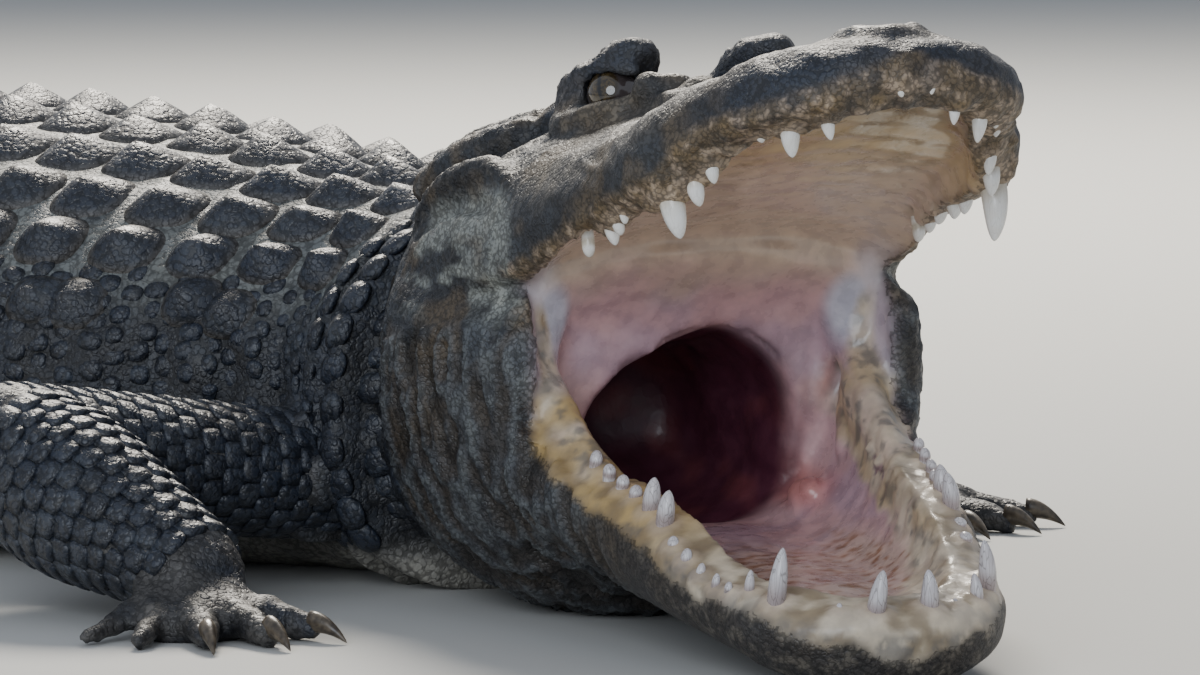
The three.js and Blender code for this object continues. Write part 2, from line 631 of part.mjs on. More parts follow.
// The head's three flesh pieces, parted on planes through the hinge.
function headPieces() {
  const bare = solid(moved(skullBody(), upperFrame)).subtract(solid(moved(palateCut(), upperFrame)));
  const skull = skullForms(bare);
  const jaw = solid(moved(jawBody(), lowerFrame));
  const floor = solid(moved(mouthFloorCut(0), lowerFrame));
  const cheeks = solid(moved(cheekBody(), levelFrame));
  const wide = solid(moved(gapeWedge(GAPE_CORNER, 300), levelFrame));
  const inner = solid(moved(gapeWedge(GAPE_BACK, CAVITY_HALF), levelFrame));
  const gullet = solid(moved(gulletCut(), levelFrame));
  const back = inFrame(levelFrame, HEAD_BACK + GAP / 2, 0, 0);
  const all = joined([skull, jaw, cheeks]).subtract(joined([wide, inner, gullet, floor]));
  const block = kept(onFloor(all), back, alongFrame(levelFrame, 1, 0, 0));
  const hinge = inFrame(levelFrame, 0, 0, 0);
  const upNormal = alongFrame(upperFrame, 0, 0, 1);
  const downNormal = alongFrame(lowerFrame, 0, 0, -1);
  const level = alongFrame(levelFrame, 0, 0, 1);
  const offset = (normal, sign) => hinge.clone().addScaledVector(normal, (sign * GAP) / 2);
  const head = kept(kept(block, offset(upNormal, 1), upNormal), offset(level, 1), level);
  const below = level.clone().negate();
  const lower = kept(kept(block, offset(downNormal, 1), downNormal), offset(below, 1), below);
  const middle = kept(
    kept(block, offset(upNormal, -1), upNormal.clone().negate()),
    offset(downNormal, -1),
    downNormal.clone().negate(),
  );
  return { head, lower, middle };
}

// Spine points: where the back plane of the head meets the middle line, then step by step along the headings.
const SPINE_STEP = 5;
const PAST_TIP = 40;
const spinePoints = [inFrame(levelFrame, HEAD_BACK, 0, 0).setZ(0)];
for (let s = 0; s < TAIL_TIP + PAST_TIP; s += SPINE_STEP) {
  const heading = rad(column(SPINE, "heading", s + SPINE_STEP / 2));
  const step = new THREE.Vector3(-Math.cos(heading), -Math.sin(heading), 0).multiplyScalar(SPINE_STEP);
  spinePoints.push(spinePoints.at(-1).clone().add(step));
}

// The frame of the body at a distance behind the head: x forward, y left, z up.
function spineFrame(s) {
  const place = clamp(s / SPINE_STEP, 0, spinePoints.length - 1.001);
  const i = Math.floor(place);
  const point = spinePoints[i].clone().lerp(spinePoints[i + 1], place - i);
  return new THREE.Matrix4().makeTranslation(point).multiply(
    new THREE.Matrix4().makeRotationZ(rad(column(SPINE, "heading", s))),
  );
}

// A point of the body's skin: angle 0 is its left side and a quarter turn its top.
function bodySkin(s, angle, fraction, grow, frame) {
  const mid = column(TRUNK, "mid", s);
  const p = section(
    angle,
    fraction,
    column(TRUNK, "half", s) + grow,
    column(TRUNK, "top", s) + grow - mid,
    mid - column(TRUNK, "floor", s) + grow,
    BACK_ROUNDNESS,
    column(TRUNK, "flat", s),
  );
  return new THREE.Vector3(0, p.y, mid + p.z).applyMatrix4(frame);
}

function bodyLength(from, to, close, grow) {
  const bend = Math.min(to, from + close * ROW_STEP);
  const near = close > 0 ? places(from, bend, ROW_STEP, 0.001, 1) : [from];
  const step = from < HIP_AT ? 2 * ROW_STEP : 1.5 * ROW_STEP;
  const [roundLength, roundSteps] = to === TAIL_TIP ? [40, 3] : [0.001, 1];
  const far = to > bend ? places(bend, to, step, roundLength, roundSteps) : [];
  const stations = [...near, ...far].filter((s, i, list) => i === 0 || s - list[i - 1] > 0.01);
  const frames = new Map(stations.map((s) => [s, spineFrame(s)]));
  const sides = from < TAIL_SIDES_FROM ? BODY_SIDES : TAIL_SIDES;
  return skinned(stations, sides, (s, angle, fraction) => bodySkin(s, angle, fraction, grow, frames.get(s)));
}

// The frame of the skin at a distance behind the head and a turn from the middle of the back: x forward,
// z outwards.
function skinFrame(s, turn) {
  const angle = Math.PI / 2 - rad(turn);
  const near = { s: s - 2, angle: angle - rad(1) };
  const point = bodySkin(s, angle, 1, 0, spineFrame(s));
  const along = bodySkin(near.s, angle, 1, 0, spineFrame(near.s)).sub(point).normalize();
  const sideways = bodySkin(s, near.angle, 1, 0, spineFrame(s)).sub(point).normalize();
  const out = sideways.clone().cross(along).normalize();
  const left = out.clone().cross(along);
  point.addScaledVector(out, -FACET_DEPTH);
  return new THREE.Matrix4().makeBasis(along, left, out).setPosition(point);
}

// The width of one of the body's facets, centred on a turn from the middle of the back
function facetWidth(s, turn) {
  const frame = spineFrame(s);
  const edge = (side) => bodySkin(s, Math.PI / 2 - rad(turn + (side * 180) / BODY_SIDES), 1, 0, frame);
  return edge(1).distanceTo(edge(-1));
}

// A four-cornered plate that rises to a keel, higher at its back, or to a peak. Long and wide are the sizes
// of its root, which is sunk in the skin.
function scute({ long, wide, high, lean, peaked, sink = SCUTE_SINK }) {
  const corners = [[1, 1], [-1, 1], [-1, -1], [1, -1]];
  return skinned([0, 1], 4, (ring, angle, fraction) => {
    const [fore, side] = corners[Math.round(angle / (Math.PI / 2) + 4) % 4];
    const [x, y] = [(fore * long * fraction) / 2, (side * wide * fraction) / 2];
    if (ring === 0) return new THREE.Vector3(x, y, -sink);
    const front = !peaked && (fraction === 0 || fore > 0);
    return new THREE.Vector3(long * (front ? 0.2 : -0.3) - lean * high, 0, front ? high * 0.8 : high);
  });
}

// Every scute of the body, in its place.
function placedScutes() {
  const draw = seeded(7);
  const list = [];
  const grow = (at, turn, form) => {
    for (const side of turn === 0 ? [1] : [-1, 1]) {
      const high = form.high * (0.88 + 0.24 * draw());
      const wide = (form.wide ?? form.share * facetWidth(at, turn)) * (0.94 + 0.06 * draw());
      const varied = { ...form, high, wide };
      list.push({ at, plate: moved(scute(varied), skinFrame(at, side * turn)) });
    }
  };
  const plate = { long: SCUTE_LONG, lean: 0.1 };
  for (const row of NAPE_SCUTES) grow(row.at, row.turn, { ...plate, ...row });
  for (let at = FIRST_CUT + ROW_STEP / 2; at < TAIL_TIP - ROW_STEP; at += ROW_STEP) {
    for (const row of [...BACK_COLUMNS, FLANK_SCUTES]) {
      const turnOfRow = Math.round((at - row.from) / ROW_STEP) % (row.every ?? 1) === 0;
      if (turnOfRow && at >= row.from && at <= row.to) grow(at, row.turn, { ...plate, ...row });
    }
    const crest = at < SINGLE_CREST[0].at - 1 ? CREST : SINGLE_CREST;
    const [turn, high, share] = ["turn", "high", "share"].map((key) => column(crest, key, at));
    const raised = clamp((at - CREST[1].at) / (CREST[3].at - CREST[1].at), 0, 1);
    const sink = SCUTE_SINK + (CREST_SINK - SCUTE_SINK) * Math.min(1, 4 * raised);
    const lean = plate.lean + (CREST_LEAN - plate.lean) * raised;
    grow(at, turn, { long: SCUTE_LONG, share, high, sink, lean, peaked: raised > 0.5 });
  }
  return list;
}

// A round-ended length from one joint to the next, with its girth from rows.
function limbLength(from, to, girth, sides, grow, steps = 3) {
  const [a, b] = [new THREE.Vector3(...from), new THREE.Vector3(...to)];
  const along = b.clone().sub(a);
  const length = along.length();
  along.normalize();
  const across = new THREE.Vector3(-along.y, along.x, 0).normalize();
  const up = along.clone().cross(across);
  const ends = [column(girth, "wide", 0) + grow, column(girth, "wide", 1) + grow];
  const round = [1, 0.62];
  const middle = Array.from({ length: steps + 1 }, (_, i) => (i / steps) * length);
  const [first, last] = [round.map((k) => -k * ends[0]), round.map((k) => length + k * ends[1]).reverse()];
  const stations = [...first, ...middle, ...last];
  return skinned(stations, sides, (d, angle, fraction) => {
    const t = clamp(d / length, 0, 1);
    const over = d < 0 ? -d / ends[0] : Math.max(0, d - length) / ends[1];
    const shrink = fraction * Math.sqrt(Math.max(0, 1 - over * over * 0.99));
    return a
      .clone()
      .addScaledVector(along, d)
      .addScaledVector(across, (column(girth, "wide", t) + grow) * shrink * rounded(Math.cos(angle)))
      .addScaledVector(up, (column(girth, "high", t) + grow) * shrink * rounded(Math.sin(angle)));
  });
}

// An egg shape with its three half sizes
function egg({ long, wide, high }, x, y, z, detail) {
  const ball = new THREE.SphereGeometry(1, detail, Math.round(detail * 0.6));
  return ball.scale(long, wide, high).translate(x, y, z);
}

// One digit: it leaves the palm high and comes down to lie on the floor.
function digit(start, heading, row, grow) {
  const [x, y, z] = start;
  const [dx, dy] = [Math.cos(heading), Math.sin(heading)];
  const rows = [
    { at: -0.1, r: 1.1, z },
    { at: 0.5, r: 1.02, z: row.thick * 1.1 },
    { at: 0.9, r: 0.9, z: row.thick * 0.8 },
    { at: 1, r: 0.5, z: row.thick * 0.7 },
  ];
  const tube = skinned([0, 1, 2, 3], 5, (i, angle, fraction) => {
    const { at, r, z: height } = rows[i];
    const radius = (row.thick * r + grow) * fraction;
    const reach = at * row.long + (i === 3 ? grow : 0);
    const over = radius * rounded(Math.cos(angle));
    const up = radius * Math.sin(angle);
    return new THREE.Vector3(x + dx * reach - dy * over, y + dy * reach + dx * over, height + up);
  });
  return solid(tube);
}

// A claw: a cone bent down from the end of a digit.
function claw(start, heading, row) {
  const tip = new THREE.Vector3(start[0], start[1], 0);
  const dir = new THREE.Vector3(Math.cos(heading), Math.sin(heading), 0);
  const side = new THREE.Vector3(-dir.y, dir.x, 0);
  const root = row.thick * 0.62;
  return skinned([0, 1, 2], 5, (i, angle, fraction) => {
    const t = i / 2;
    const r = root * (1 - t) * fraction;
    const height = row.thick * 1.15 * (1 - t * t) + 1.2;
    return tip
      .clone()
      .addScaledVector(dir, row.long + t * row.claw + row.thick * 0.1)
      .addScaledVector(side, r * 0.8 * rounded(Math.cos(angle)))
      .setZ(height + r * rounded(Math.sin(angle)));
  });
}

// Hand or foot: palm, digits and claws.
function paw(wrist, centre, palmRows, digits, fan, side) {
  const heading = Math.atan2(centre[1] - wrist[1], centre[0] - wrist[0]);
  const headings = digits.map((row) => heading + side * rad(row.turn + fan));
  const starts = digits.map((row, i) => {
    const spread = (i / (digits.length - 1) - 0.5) * 1.75 * palmRows[1].wide;
    return [
      centre[0] + side * spread * -Math.sin(heading),
      centre[1] + side * spread * Math.cos(heading),
      centre[2],
    ];
  });
  const make = (grow) =>
    joined([
      solid(limbLength(wrist, centre, palmRows, 8, grow, 1)),
      ...digits.map((row, i) => digit(starts[i], headings[i], row, grow)),
    ]);
  const claws = digits.map((row, i) => (row.claw ? solid(claw(starts[i], headings[i], row)) : null));
  return { make, claws };
}

// Nodes
const alligator = new THREE.Group();
function addNode(name, piece, finish) {
  const body = whole(piece);
  const mesh = body.getMesh();
  const geometry = new THREE.BufferGeometry();
  const positions = new Float32Array(mesh.numVert * 3);
  for (let i = 0; i < mesh.numVert; i += 1) {
    positions.set(mesh.vertProperties.subarray(i * mesh.numProp, i * mesh.numProp + 3), i * 3);
  }
  geometry.setAttribute("position", new THREE.BufferAttribute(positions, 3));
  geometry.setIndex(new THREE.BufferAttribute(mesh.triVerts, 1));
  geometry.translate(-ORIGIN.x, -ORIGIN.y, 0);
  geometry.computeVertexNormals();
  const node = new THREE.Mesh(geometry, new THREE.MeshStandardMaterial({ metalness: 0, ...finish }));
  node.name = name;
  alligator.add(node);
}

// A limb of three lengths. Each is cut clear of the one it grows from.
function addLimb(side, joints, rows, names, body) {
  const [root, middle, end, centre] = joints;
  const upper = solid(limbLength(root, middle, rows.upper, 10, 0, 2));
  const lower = (grow) => solid(limbLength(middle, end, rows.lower, 10, grow));
  const { make, claws } = paw(end, centre, rows.palm, rows.digits, rows.fan, side === "left" ? 1 : -1);
  const paws = onFloor(make(0));
  addNode(`${names.upper}_${side}`, onFloor(upper.subtract(joined([body, lower(GAP)]))), FINISH.scales);
  addNode(`${names.lower}_${side}`, onFloor(lower(0).subtract(body)), FINISH.scales);
  addNode(`${names.paw}_${side}`, paws.subtract(joined([body, lower(GAP)])), FINISH.scales);
  const grown = make(GAP);
  claws.forEach((piece, i) => {
    if (piece) addNode(`${names.claw}_${i + 1}_${side}`, onFloor(piece).subtract(grown), FINISH.claw);
  });
}

const { head, lower, middle } = headPieces();
addNode("head", joined([head, ...teeth(UPPER_TEETH, true, upperFrame, 11)]), FINISH.hide);
addNode("lower_jaw", joined([lower, ...teeth(LOWER_TEETH, false, lowerFrame, 12)]), FINISH.hide);
addNode("throat", middle, FINISH.mouth);
addNode("tongue", tonguePad(), FINISH.mouth);
for (const [side, sign] of Object.entries(SIDES)) addNode(`eye_${side}`, eyeball(sign, 0), FINISH.eye);

const lengths = [...CUTS, { name: "tail_5", close: 0 }].map(({ name, rows, close }, i) => {
  const from = (i > 0 ? FIRST_CUT + CUTS[i - 1].rows * ROW_STEP : 0) + GAP / 2;
  return { name, close, from, to: rows === undefined ? TAIL_TIP : FIRST_CUT + rows * ROW_STEP - GAP / 2 };
});
const scutes = placedScutes();

// What lies between the two planes across the spine, a little inside them.
function betweenCuts(piece, from, to) {
  const inset = 0.05;
  const [front, back] = [spineFrame(from + inset), spineFrame(to - inset)];
  const behind = kept(piece, inFrame(front, 0, 0, 0), alongFrame(front, -1, 0, 0));
  return to < TAIL_TIP ? kept(behind, inFrame(back, 0, 0, 0), alongFrame(back, 1, 0, 0)) : behind;
}
for (const { name, from, to, close } of lengths) {
  const own = joined(scutes.filter(({ at }) => at > from && at < to).map(({ plate }) => solid(plate)));
  const flesh = onFloor(solid(bodyLength(from, to, close, 0)));
  addNode(name, joined([flesh, betweenCuts(own, from, to)]), FINISH.hide);
}

// Some lengths of the body, grown by the gap and bridged over their cuts, to cut the limbs clear of them.
function grownBody(names) {
  const chosen = lengths.filter(({ name }) => names.includes(name));
  const grown = chosen.map(({ from, to, close }) => solid(bodyLength(from, to, close, GAP)));
  const bridges = chosen.slice(1).map(({ from }) => solid(bodyLength(from - 8, from + 8, 0, 0)));
  return joined([...grown, ...bridges]);
}

const chest = grownBody(["neck", "torso_front"]);
const hips = grownBody(["torso_front", "torso_rear", "tail_1"]);
const armRows = { upper: UPPER_ARM, lower: FOREARM, palm: PALM, digits: FINGERS };
const legRows = { upper: THIGH, lower: SHANK, palm: SOLE, digits: TOES };
const armNames = { upper: "upper_arm", lower: "forearm", paw: "hand", claw: "claw_hand" };
const legNames = { upper: "thigh", lower: "shank", paw: "foot", claw: "claw_foot" };
for (const [side, sign] of Object.entries(SIDES)) {
  const arm = ARMS[side];
  const armJoints = [arm.shoulder, arm.elbow, arm.wrist, arm.hand];
  addLimb(side, armJoints, { ...armRows, fan: arm.fan }, armNames, chest);
  const leg = LEGS[side];
  const hipFrame = spineFrame(HIP_AT);
  const placed = ([forward, outward, z]) => inFrame(hipFrame, forward, sign * outward, z).toArray();
  const legJoints = [leg.hip, leg.knee, leg.ankle, leg.foot].map(placed);
  addLimb(side, legJoints, { ...legRows, fan: leg.fan }, legNames, hips);
}

export default alligator;
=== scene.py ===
"""American alligator, a life-size still model: one skin, its scutes and scales, teeth, eyes and claws.

Shapes are worked out in millimetres from the floor under the jaw hinge, with x the way the trunk points,
y to the animal's left and z up, and are moved into the part's frame in metres when their meshes are made.
"""

import logging
import math
from dataclasses import dataclass, field
from enum import Enum
from typing import Callable, NamedTuple, Sequence

import bmesh
import bpy
import numpy as np
from mathutils import Matrix, Vector


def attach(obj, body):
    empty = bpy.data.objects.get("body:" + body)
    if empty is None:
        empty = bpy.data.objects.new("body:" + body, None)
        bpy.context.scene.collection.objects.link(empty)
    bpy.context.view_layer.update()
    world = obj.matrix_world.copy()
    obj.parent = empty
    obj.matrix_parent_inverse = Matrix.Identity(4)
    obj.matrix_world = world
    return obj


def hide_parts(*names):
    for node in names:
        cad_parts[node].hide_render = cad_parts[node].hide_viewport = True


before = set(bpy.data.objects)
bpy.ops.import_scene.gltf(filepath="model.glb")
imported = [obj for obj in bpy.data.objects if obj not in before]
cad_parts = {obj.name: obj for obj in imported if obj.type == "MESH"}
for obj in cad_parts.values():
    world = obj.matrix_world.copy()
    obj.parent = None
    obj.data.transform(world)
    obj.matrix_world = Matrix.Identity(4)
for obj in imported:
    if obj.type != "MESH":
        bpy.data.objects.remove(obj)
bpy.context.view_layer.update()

LOG = logging.getLogger("alligator")

Array = np.ndarray
Object = bpy.types.Object
Socket = bpy.types.NodeSocket
Tree = bpy.types.NodeTree
Material = bpy.types.Material
Inputs = dict[str | int, object]
Effects = dict[str, Tree]
Path = Sequence[Sequence[float]]
Place = tuple[float, float, float]
Colour = tuple[float, float, float]
PlateRows = list[list[float]]

MM = 0.001
PLACE_IN_PART = np.array([1069.0, -57.0, 0.0])
SIDES = {"right": -1.0, "left": 1.0}


class Solver(Enum):
    """How a boolean joins or cuts."""

    UNION = "UNION"
    DIFFERENCE = "DIFFERENCE"


class Jaw(Enum):
    """The two rows of teeth."""

    UPPER = "upper"
    LOWER = "lower"


# ---- curves, frames and noise


class Rows:
    """Named columns of sizes at places along a form, each read as a smooth curve that never overshoots."""

    def __init__(self, names: str, *rows: Sequence[float]) -> None:
        """Keeps the rows.

        Args:
            names: The columns' names after the first, which is the place.
            rows: A place and its sizes.
        """
        table = np.array(rows, float)
        self.places = table[:, 0]
        self.columns = {name: table[:, i + 1] for i, name in enumerate(names.split())}

    def read(self, name: str, x: Array | float) -> Array:
        """Returns the column's values at the places x."""
        y = self.columns[name]
        step = np.diff(self.places)
        slope = np.diff(y) / step
        before, after = slope[:-1], slope[1:]
        total = np.where(np.abs(before + after) < 1e-12, 1.0, before + after)
        inner = np.where(before * after <= 0, 0.0, 2 * before * after / total)
        tangent = np.concatenate([slope[:1], inner, slope[-1:]])
        xs = np.clip(x, self.places[0], self.places[-1])
        i = np.clip(np.searchsorted(self.places, xs, side="right") - 1, 0, len(step) - 1)
        t = (xs - self.places[i]) / step[i]
        t2, t3 = t * t, t * t * t
        return (
            y[i] * (2 * t3 - 3 * t2 + 1)
            + tangent[i] * step[i] * (t3 - 2 * t2 + t)
            + y[i + 1] * (3 * t2 - 2 * t3)
            + tangent[i + 1] * step[i] * (t3 - t2)
        )


def smooth(value: Array, low: float, high: float) -> Array:
    """Returns 0 below low, 1 above high and a smooth step between; low may be the larger."""
    t = np.clip((value - low) / (high - low), 0.0, 1.0)
    return t * t * (3 - 2 * t)


def bump(value: Array, centre: float, reach: float) -> Array:
    """Returns a round hump of 1 at the centre that ends at the reach on both sides."""
    return 1 - smooth(np.abs(value - centre), 0.0, reach)


def eased(count: int) -> Array:
    """Returns numbers from 0 to 1 that crowd towards 1, as a round end's stations do."""
    return np.sin(np.linspace(0, math.pi / 2, count))


def signed_power(value: Array, power: Array | float) -> Array:
    """Returns the value's size to a power, with its sign kept."""
    return np.sign(value) * np.abs(value) ** power


def section(
    angle: Array, half: Array, up: Array, down: Array, above: float, below: float,
) -> tuple[Array, Array]:
    """Gives points of a rounded section.

    Args:
        angle: Angles from the section's left side.
        half: Half widths.
        up: Heights above the widest level.
        down: Depths below it.
        above: The upper half's squareness, where 2 is an ellipse.
        below: The lower half's squareness.

    Returns:
        The points' sideways and upward places.
    """
    c, s = np.cos(angle), np.sin(angle)
    square = np.where(s >= 0, above, below)
    height = np.where(s >= 0, up, down)
    return half * signed_power(c, 2 / square), height * signed_power(s, 2 / square)


def columns(*values: Array) -> Array:
    """Returns an array whose columns are the values."""
    return np.stack(values, axis=1)


def turned(axis: str, degrees: float) -> Array:
    """Returns a turn about an axis as a 4 by 4 array."""
    return np.array(Matrix.Rotation(math.radians(degrees), 4, axis))


def shifted(x: float, y: float, z: float) -> Array:
    """Returns a shift as a 4 by 4 array."""
    return np.array(Matrix.Translation((x, y, z)))


def through(matrix: Array, points: Array) -> Array:
    """Returns points moved by a 4 by 4 array."""
    return points @ matrix[:3, :3].T + matrix[:3, 3]


HINGE_HEIGHT = 147.0
HEAD_TURN, HEAD_ROLL = -32.3, 0.8
UPPER_PITCH, LOWER_PITCH = 21.2, -16.2
LEVEL = shifted(0, 0, HINGE_HEIGHT) @ turned("Z", HEAD_TURN) @ turned("X", HEAD_ROLL)
UPPER = LEVEL @ turned("Y", -UPPER_PITCH)
LOWER = LEVEL @ turned("Y", -LOWER_PITCH)
EYE = (147.0, 46.0, 86.0)
NOSE_TIP, CHIN_TIP = 441.0, 413.0
HEAD_PLANE = -35.0


def hashed(x: Array, y: Array, z: Array, seed: int) -> Array:
    """Returns a repeatable number from 0 to 1 for each whole-numbered place."""
    h = (
        x.astype(np.int64) * 73856093
        ^ y.astype(np.int64) * 19349663
        ^ z.astype(np.int64) * 83492791
        ^ np.int64(seed * 2654435)
    ) & 0xFFFFFFFF
    h = ((h ^ (h >> 15)) * 2246822519) & 0xFFFFFFFF
    h = ((h ^ (h >> 13)) * 3266489917) & 0xFFFFFFFF
    return ((h ^ (h >> 16)) & 0xFFFFFF) / 16777215.0


def soft_noise(points: Array, size: float, seed: int, octaves: int = 1) -> Array:
    """Returns smooth noise from -1 to 1 whose lumps are about a size across, with finer layers added."""
    total = np.zeros(len(points))
    weight, reach = 1.0, 0.0
    for octave in range(octaves):
        p = points / size * 2**octave + 17.3 * seed
        cell = np.floor(p)
        t = p - cell
        t = t * t * t * (t * (t * 6 - 15) + 10)
        value = np.zeros(len(points))
        for corner in range(8):
            step = np.array([corner & 1, corner >> 1 & 1, corner >> 2])
            share = np.prod(np.where(step, t, 1 - t), axis=1)
            at = cell + step
            value += share * hashed(at[:, 0], at[:, 1], at[:, 2], seed + octave)
        total += weight * (2 * value - 1)
        reach += weight
        weight *= 0.5
    return total / reach * 1.6


def cell_noise(points: Array, size: float, seed: int) -> tuple[Array, Array, Array]:
    """Gives the cells of scattered seeds.

    Args:
        points: Where to look.
        size: The mean distance between seeds.
        seed: Which scatter.

    Returns:
        The distance to the nearest seed and the next one, as shares of the size, and the nearest one's number.
    """
    p = points / size + 9.1 * seed
    cell = np.floor(p)
    first = np.full(len(p), 9.0)
    second = np.full(len(p), 9.0)
    number = np.zeros(len(p))
    for corner in range(27):
        at = cell + np.array([corner % 3 - 1, corner // 3 % 3 - 1, corner // 9 - 1])
        jitter = np.stack([hashed(at[:, 0], at[:, 1], at[:, 2], seed + k) for k in range(3)], axis=1)
        distance = np.linalg.norm(at + 0.5 + 0.8 * (jitter - 0.5) - p, axis=1)
        nearer = distance < first
        second = np.where(nearer, first, np.minimum(second, distance))
        number = np.where(nearer, jitter[:, 0], number)
        first = np.where(nearer, distance, first)
    return first, second, number


# ---- sizes

SKULL = Rows(
    "half top edge lip square",
    (-60, 112, 70, 8, -20, 2.9), (-20, 126, 82, 8, -16, 2.9), (30, 129, 90, 10, -10, 2.8),
    (80, 123, 91, 10, -8, 2.5), (130, 114, 84, 9, -8, 2.2), (175, 107, 71, 8, -9, 2.1),
    (215, 102, 59, 6, -8, 2.1), (250, 100, 52, 5, -9, 2.2), (285, 102, 47, 2, -15, 2.3),
    (312, 103, 44, 0, -19, 2.4), (335, 94, 40, 4, -11, 2.4), (358, 84, 38, 8, -4, 2.4),
    (380, 79, 36, 8, -6, 2.4), (400, 70, 33, 6, -8, 2.3), (418, 56, 28, 5, -8, 2.2), (430, 40, 22, 6, -6, 2.2),
    (438, 22, 16, 7, -1, 2.1), (441, 6, 12, 8, 4, 2),
)
PALATE = Rows(
    "half rise",
    (60, 92, 16), (120, 92, 13), (190, 84, 9), (250, 80, 7), (310, 76, 5), (350, 58, 6), (385, 44, 7),
    (410, 26, 6), (418, 8, 2),
)
JAW = Rows(
    "half floor edge rim",
    (-60, 118, -74, -20, 4), (-20, 128, -82, -22, 6), (40, 128, -86, -26, 6), (100, 119, -83, -26, 6),
    (160, 107, -76, -22, 6), (215, 98, -69, -18, 6), (265, 92, -63, -16, 9), (300, 85, -57, -15, 5),
    (335, 77, -51, -15, 2), (365, 71, -46, -15, 7), (385, 62, -42, -14, 7), (400, 48, -38, -12, 7),
    (409, 31, -32, -10, 5), (413, 12, -22, -8, -1),
)
MOUTH_FLOOR = Rows(
    "half depth",
    (92, 84, 74), (140, 78, 66), (180, 72, 58), (240, 63, 45), (300, 56, 30), (340, 46, 17), (370, 30, 8),
    (380, 12, 2),
)
CHEEKS = Rows(
    "half top mid floor",
    (-70, 120, 76, -10, -143), (-35, 128, 84, -8, -146), (0, 140, 82, -8, -149), (40, 141, 74, -8, -149),
    (80, 131, 64, -6, -143), (115, 119, 56, -2, -130), (150, 106, 50, 0, -114),
)
TONGUE = Rows(
    "half top",
    (100, 44, -72), (125, 52, -64), (200, 51, -47), (270, 42, -32), (305, 28, -25), (318, 10, -28),
)
SKULL_TABLE = Rows("half top", (8, 55, 97), (30, 63, 104), (75, 62, 106), (118, 48, 103), (132, 34, 95))
GAPE_CORNER, GAPE_BACK, CAVITY_HALF = 128.0, 92.0, 97.0
SAIL = (
    (88, -25.6), (88, -10), (88, 0), (90, 8), (94, 16), (101, 25), (111, 34), (124, 43), (140, 51.5),
    (158, 60), (178, 68.6),
)
GULLET = Rows(
    "share", (-29, 0.12), (-27, 0.3), (-20, 0.5), (4, 0.74), (44, 0.9), (74, 0.98), (92, 1.0), (135, 1.03),
)
GULLET_CENTRE = (3.0, -45.0)
GULLET_EDGE = (
    (60, -45), (60, -30), (52, -16), (36, -1), (17, 8), (3, 4), (-20, -6), (-42, -20), (-57, -36), (-58, -56),
    (-48, -84), (-24, -102), (4, -106), (36, -102), (54, -86), (60, -62),
)
RICTUS = (
    (192, 80, -54), (169, 82, -44), (146, 83, -35), (122, 83, -25), (104, 87, -10), (98, 91, 10), (99, 95, 30),
    (106, 98, 47),
)
RICTUS_ROUND = (4, 7, 9, 11, 11, 10, 9, 7)
JAW_CORNER_SKIN = ((22, 119, 60), (60, 115, 68), (95, 112, 72), (112, 108, 64))
WALL_FOLDS = (
    ((92, 86, 40), (90, 82, 4), (92, 74, -30), (100, 66, -58), (114, 60, -80)),
    ((100, 92, 40), (98, 88, 0), (102, 82, -30), (114, 76, -58)),
)


def throat_edge(angle: Array) -> Array:
    """Returns how far the throat's edge lies from its centre at angles in radians."""
    way = [math.atan2(z - GULLET_CENTRE[1], y - GULLET_CENTRE[0]) for y, z in GULLET_EDGE]
    far = [math.hypot(z - GULLET_CENTRE[1], y - GULLET_CENTRE[0]) for y, z in GULLET_EDGE]
    return np.interp(angle, way, far, period=2 * math.pi)


UPPER_TEETH = {
    "right": (
        (434, 7, 0, 9, 6), (421, 24, -6, 4, 5), (406, 36, -6, 15, 9), (390, 49, -6, 17, 12),
        (376, 60, -4, 8, 7), (354, 66, -3, 8, 7), (339, 73, -9, 12, 9), (325, 78, -14, 14, 11),
        (309, 85, -18, 22, 15), (293, 87, -14, 7, 7), (254, 90, -8, 7, 6), (240, 89, -8, 9, 8),
        (227, 88, -8, 10, 9), (196, 90, -8, 7, 8),
    ),
    "left": (
        (434, 10, 0, 8, 5), (421, 26, -5, 15, 8), (404, 46, -6, 18, 10), (391, 60, -5, 8, 6),
        (372, 68, -3, 9, 7), (339, 76, -8, 14, 9), (325, 81, -13, 16, 11), (309, 88, -18, 28, 16),
        (298, 92, -14, 17, 9), (268, 90, -10, 12, 10), (252, 90, -9, 10, 10), (236, 89, -8, 9, 9),
        (218, 90, -8, 8, 8), (198, 91, -8, 7, 8),
    ),
}
LOWER_TEETH = {
    "right": (
        (400, 14, 6, 21, 11), (395, 31, 1, 8, 6), (373, 56, 4, 25, 11), (354, 63, 1, 10, 6),
        (344, 70, -3, 5, 5), (334, 73, -4, 6, 5), (320, 76, -5, 7, 6), (304, 78, -3, 6, 7),
        (290, 80, -1, 5, 7), (271, 78, 5, 16, 11), (253, 79, 5, 15, 11), (235, 81, 4, 5, 8),
        (221, 83, 4, 5, 8), (206, 85, 4, 5, 8), (191, 87, 4, 6, 8),
    ),
    "left": (
        (400, 14, 6, 21, 11), (395, 31, 1, 7, 6), (387, 45, 3, 14, 8), (373, 56, 4, 25, 11),
        (352, 64, 0, 4, 6), (306, 72, 1, 3, 8), (290, 75, 2, 3, 8), (272, 77, 5, 17, 11), (254, 79, 5, 14, 11),
        (237, 82, 4, 5, 7), (222, 86, 4, 5, 7), (208, 88, 4, 5, 7), (194, 90, 4, 5, 7),
    ),
}

